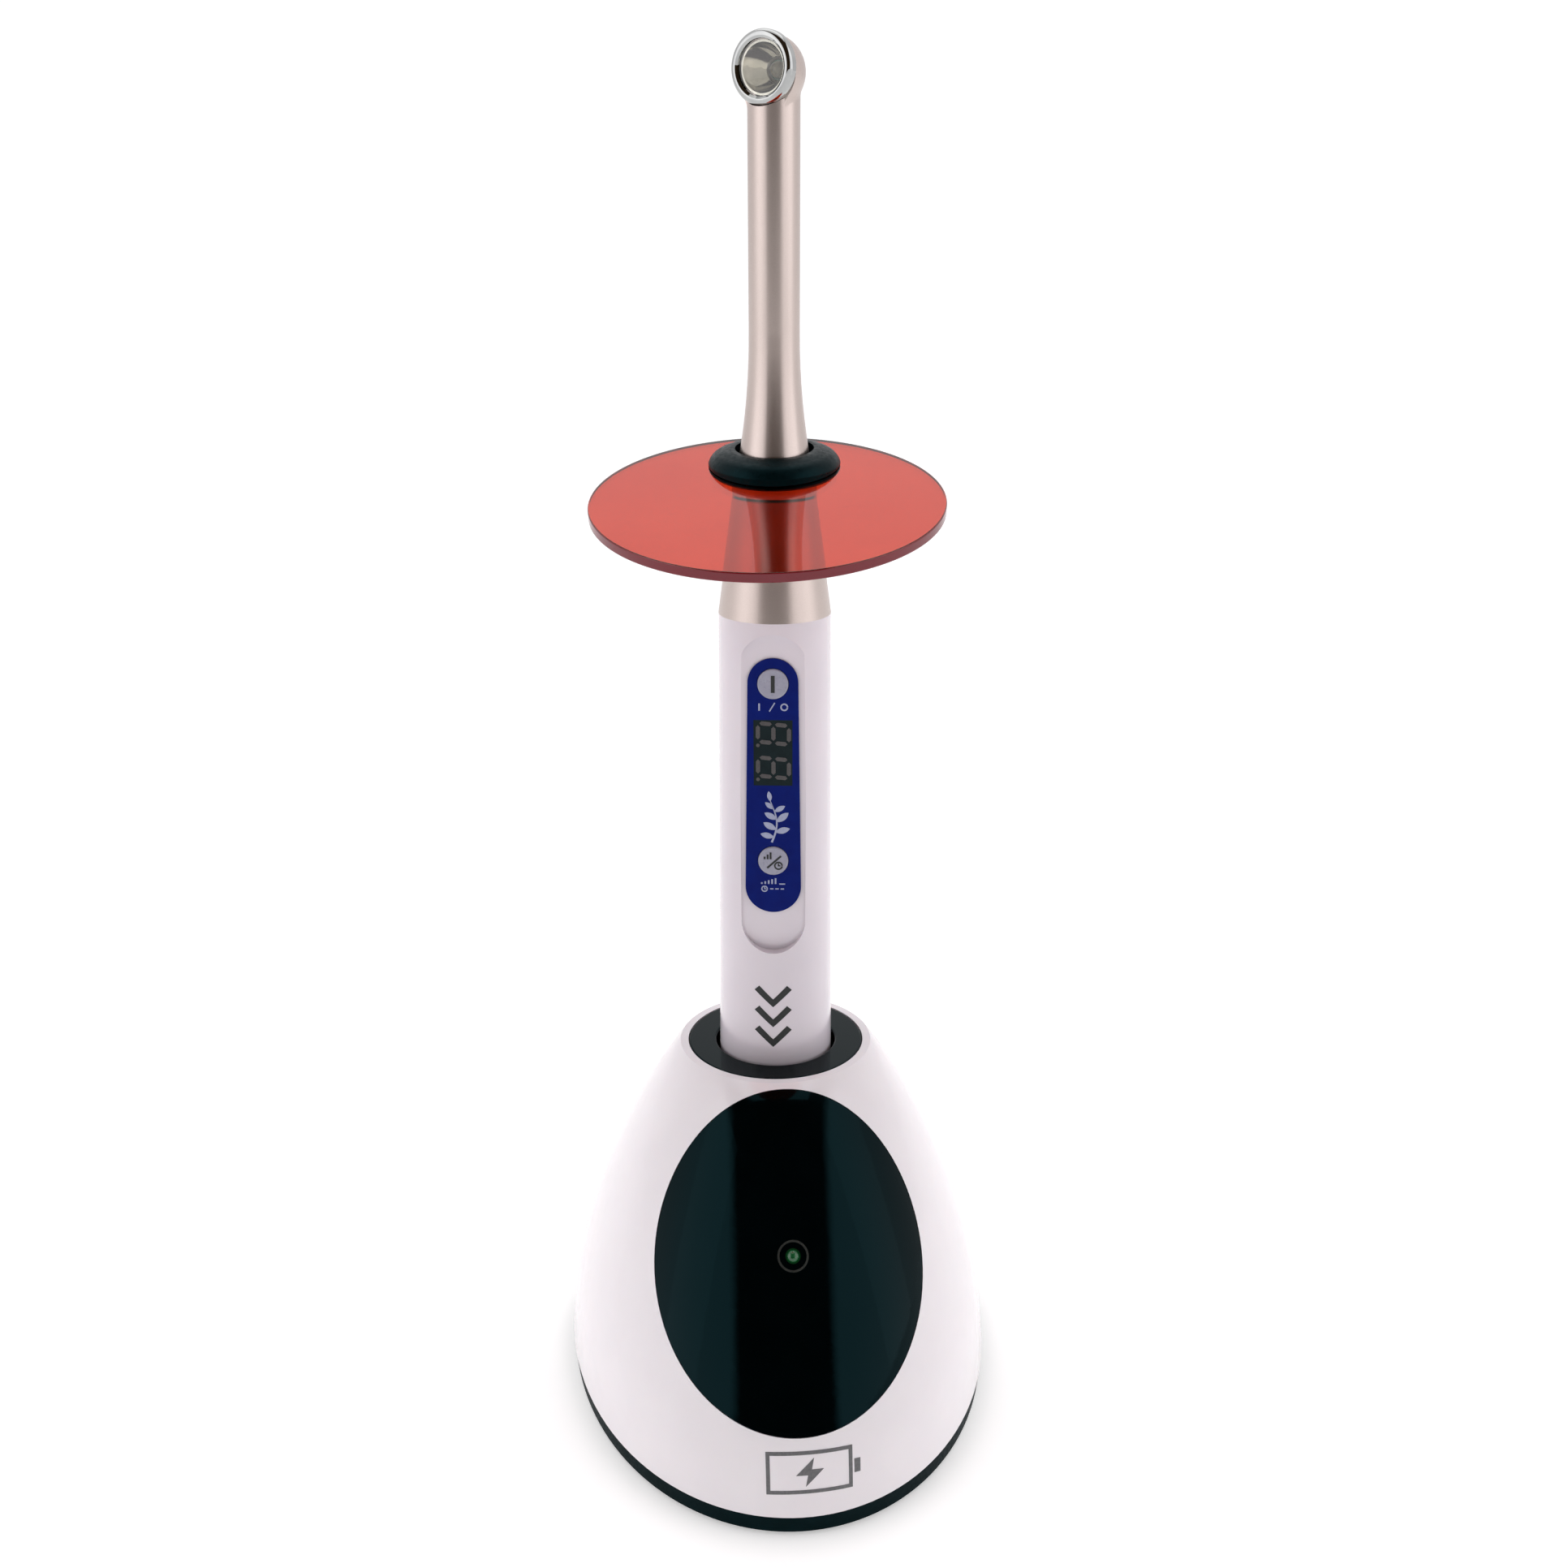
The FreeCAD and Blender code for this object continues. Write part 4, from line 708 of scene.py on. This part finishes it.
def add_world():
    """Pale room: bright walls to the front left and right, a dim gap behind the camera, softer light behind.

    The camera itself sees plain white."""
    world = bpy.data.worlds.new("studio")
    world.use_nodes = True
    nodes = world.node_tree.nodes
    links = world.node_tree.links
    nodes.clear()
    where = nodes.new("ShaderNodeTexCoord")
    yaw = math.radians(CAMERA_YAW)

    def along(direction):
        product = nodes.new("ShaderNodeVectorMath")
        product.operation = "DOT_PRODUCT"
        product.inputs[1].default_value = direction
        links.new(where.outputs["Generated"], product.inputs[0])
        return product.outputs["Value"]

    def blend_light(source, span, low, high):
        share = nodes.new("ShaderNodeMapRange")
        share.interpolation_type = "SMOOTHSTEP"
        share.inputs["From Min"].default_value = span[0]
        share.inputs["From Max"].default_value = span[1]
        links.new(source, share.inputs["Value"])
        mix = nodes.new("ShaderNodeMix")
        mix.data_type = "RGBA"
        links.new(share.outputs["Result"], mix.inputs["Factor"])
        for socket, light in ((mix.inputs[6], low), (mix.inputs[7], high)):
            if isinstance(light, tuple):
                socket.default_value = light
            else:
                links.new(light, socket)
        return mix.outputs[2]

    sideways = nodes.new("ShaderNodeMath")
    sideways.operation = "ABSOLUTE"
    links.new(along((math.cos(yaw), math.sin(yaw), 0.0)), sideways.inputs[0])
    front = blend_light(sideways.outputs["Value"], GAP_EDGE, GAP_LIGHT, WALL_LIGHT)
    toward_camera = along((math.sin(yaw), -math.cos(yaw), 0.0))
    room = nodes.new("ShaderNodeBackground")
    links.new(blend_light(toward_camera, BACK_EDGE, BACK_LIGHT, front), room.inputs["Color"])
    plain = nodes.new("ShaderNodeBackground")
    plain.inputs["Color"].default_value = (1, 1, 1, 1)
    plain.inputs["Strength"].default_value = 1.05
    ray = nodes.new("ShaderNodeLightPath")
    choose = nodes.new("ShaderNodeMixShader")
    out = nodes.new("ShaderNodeOutputWorld")
    links.new(ray.outputs["Is Camera Ray"], choose.inputs["Fac"])
    links.new(room.outputs["Background"], choose.inputs[1])
    links.new(plain.outputs["Background"], choose.inputs[2])
    links.new(choose.outputs["Shader"], out.inputs["Surface"])
    bpy.context.scene.world = world


def add_camera():
    camera = bpy.data.cameras.new("camera")
    camera.lens = CAMERA_LENS
    camera.sensor_width = 36
    camera.sensor_fit = "HORIZONTAL"
    camera.clip_start = 0.01
    eye = bpy.data.objects.new("camera", camera)
    eye.location = CAMERA_PLACE
    eye.rotation_euler = (math.radians(CAMERA_PITCH), 0, math.radians(CAMERA_YAW))
    bpy.context.scene.collection.objects.link(eye)
    bpy.context.scene.camera = eye


dress_frame()
display_digits()
key_marks()
panel_legends()
plain_sprig()
lamp_ring()
battery_sign()
insertion_arrows()
add_floor()
add_world()
add_softbox("key_left", (-0.75, -0.25, 0.45), (0, 0, 0.13), (0.35, 0.9), 0.25)
add_softbox("key_right", (0.75, -0.2, 0.45), (0, 0, 0.13), (0.35, 0.9), 0.25)
add_softbox("top", (0, 0.15, 0.95), (0, 0, 0.1), (0.7, 0.7), 1.3)
add_camera()
bpy.context.scene.view_settings.view_transform = "Standard"
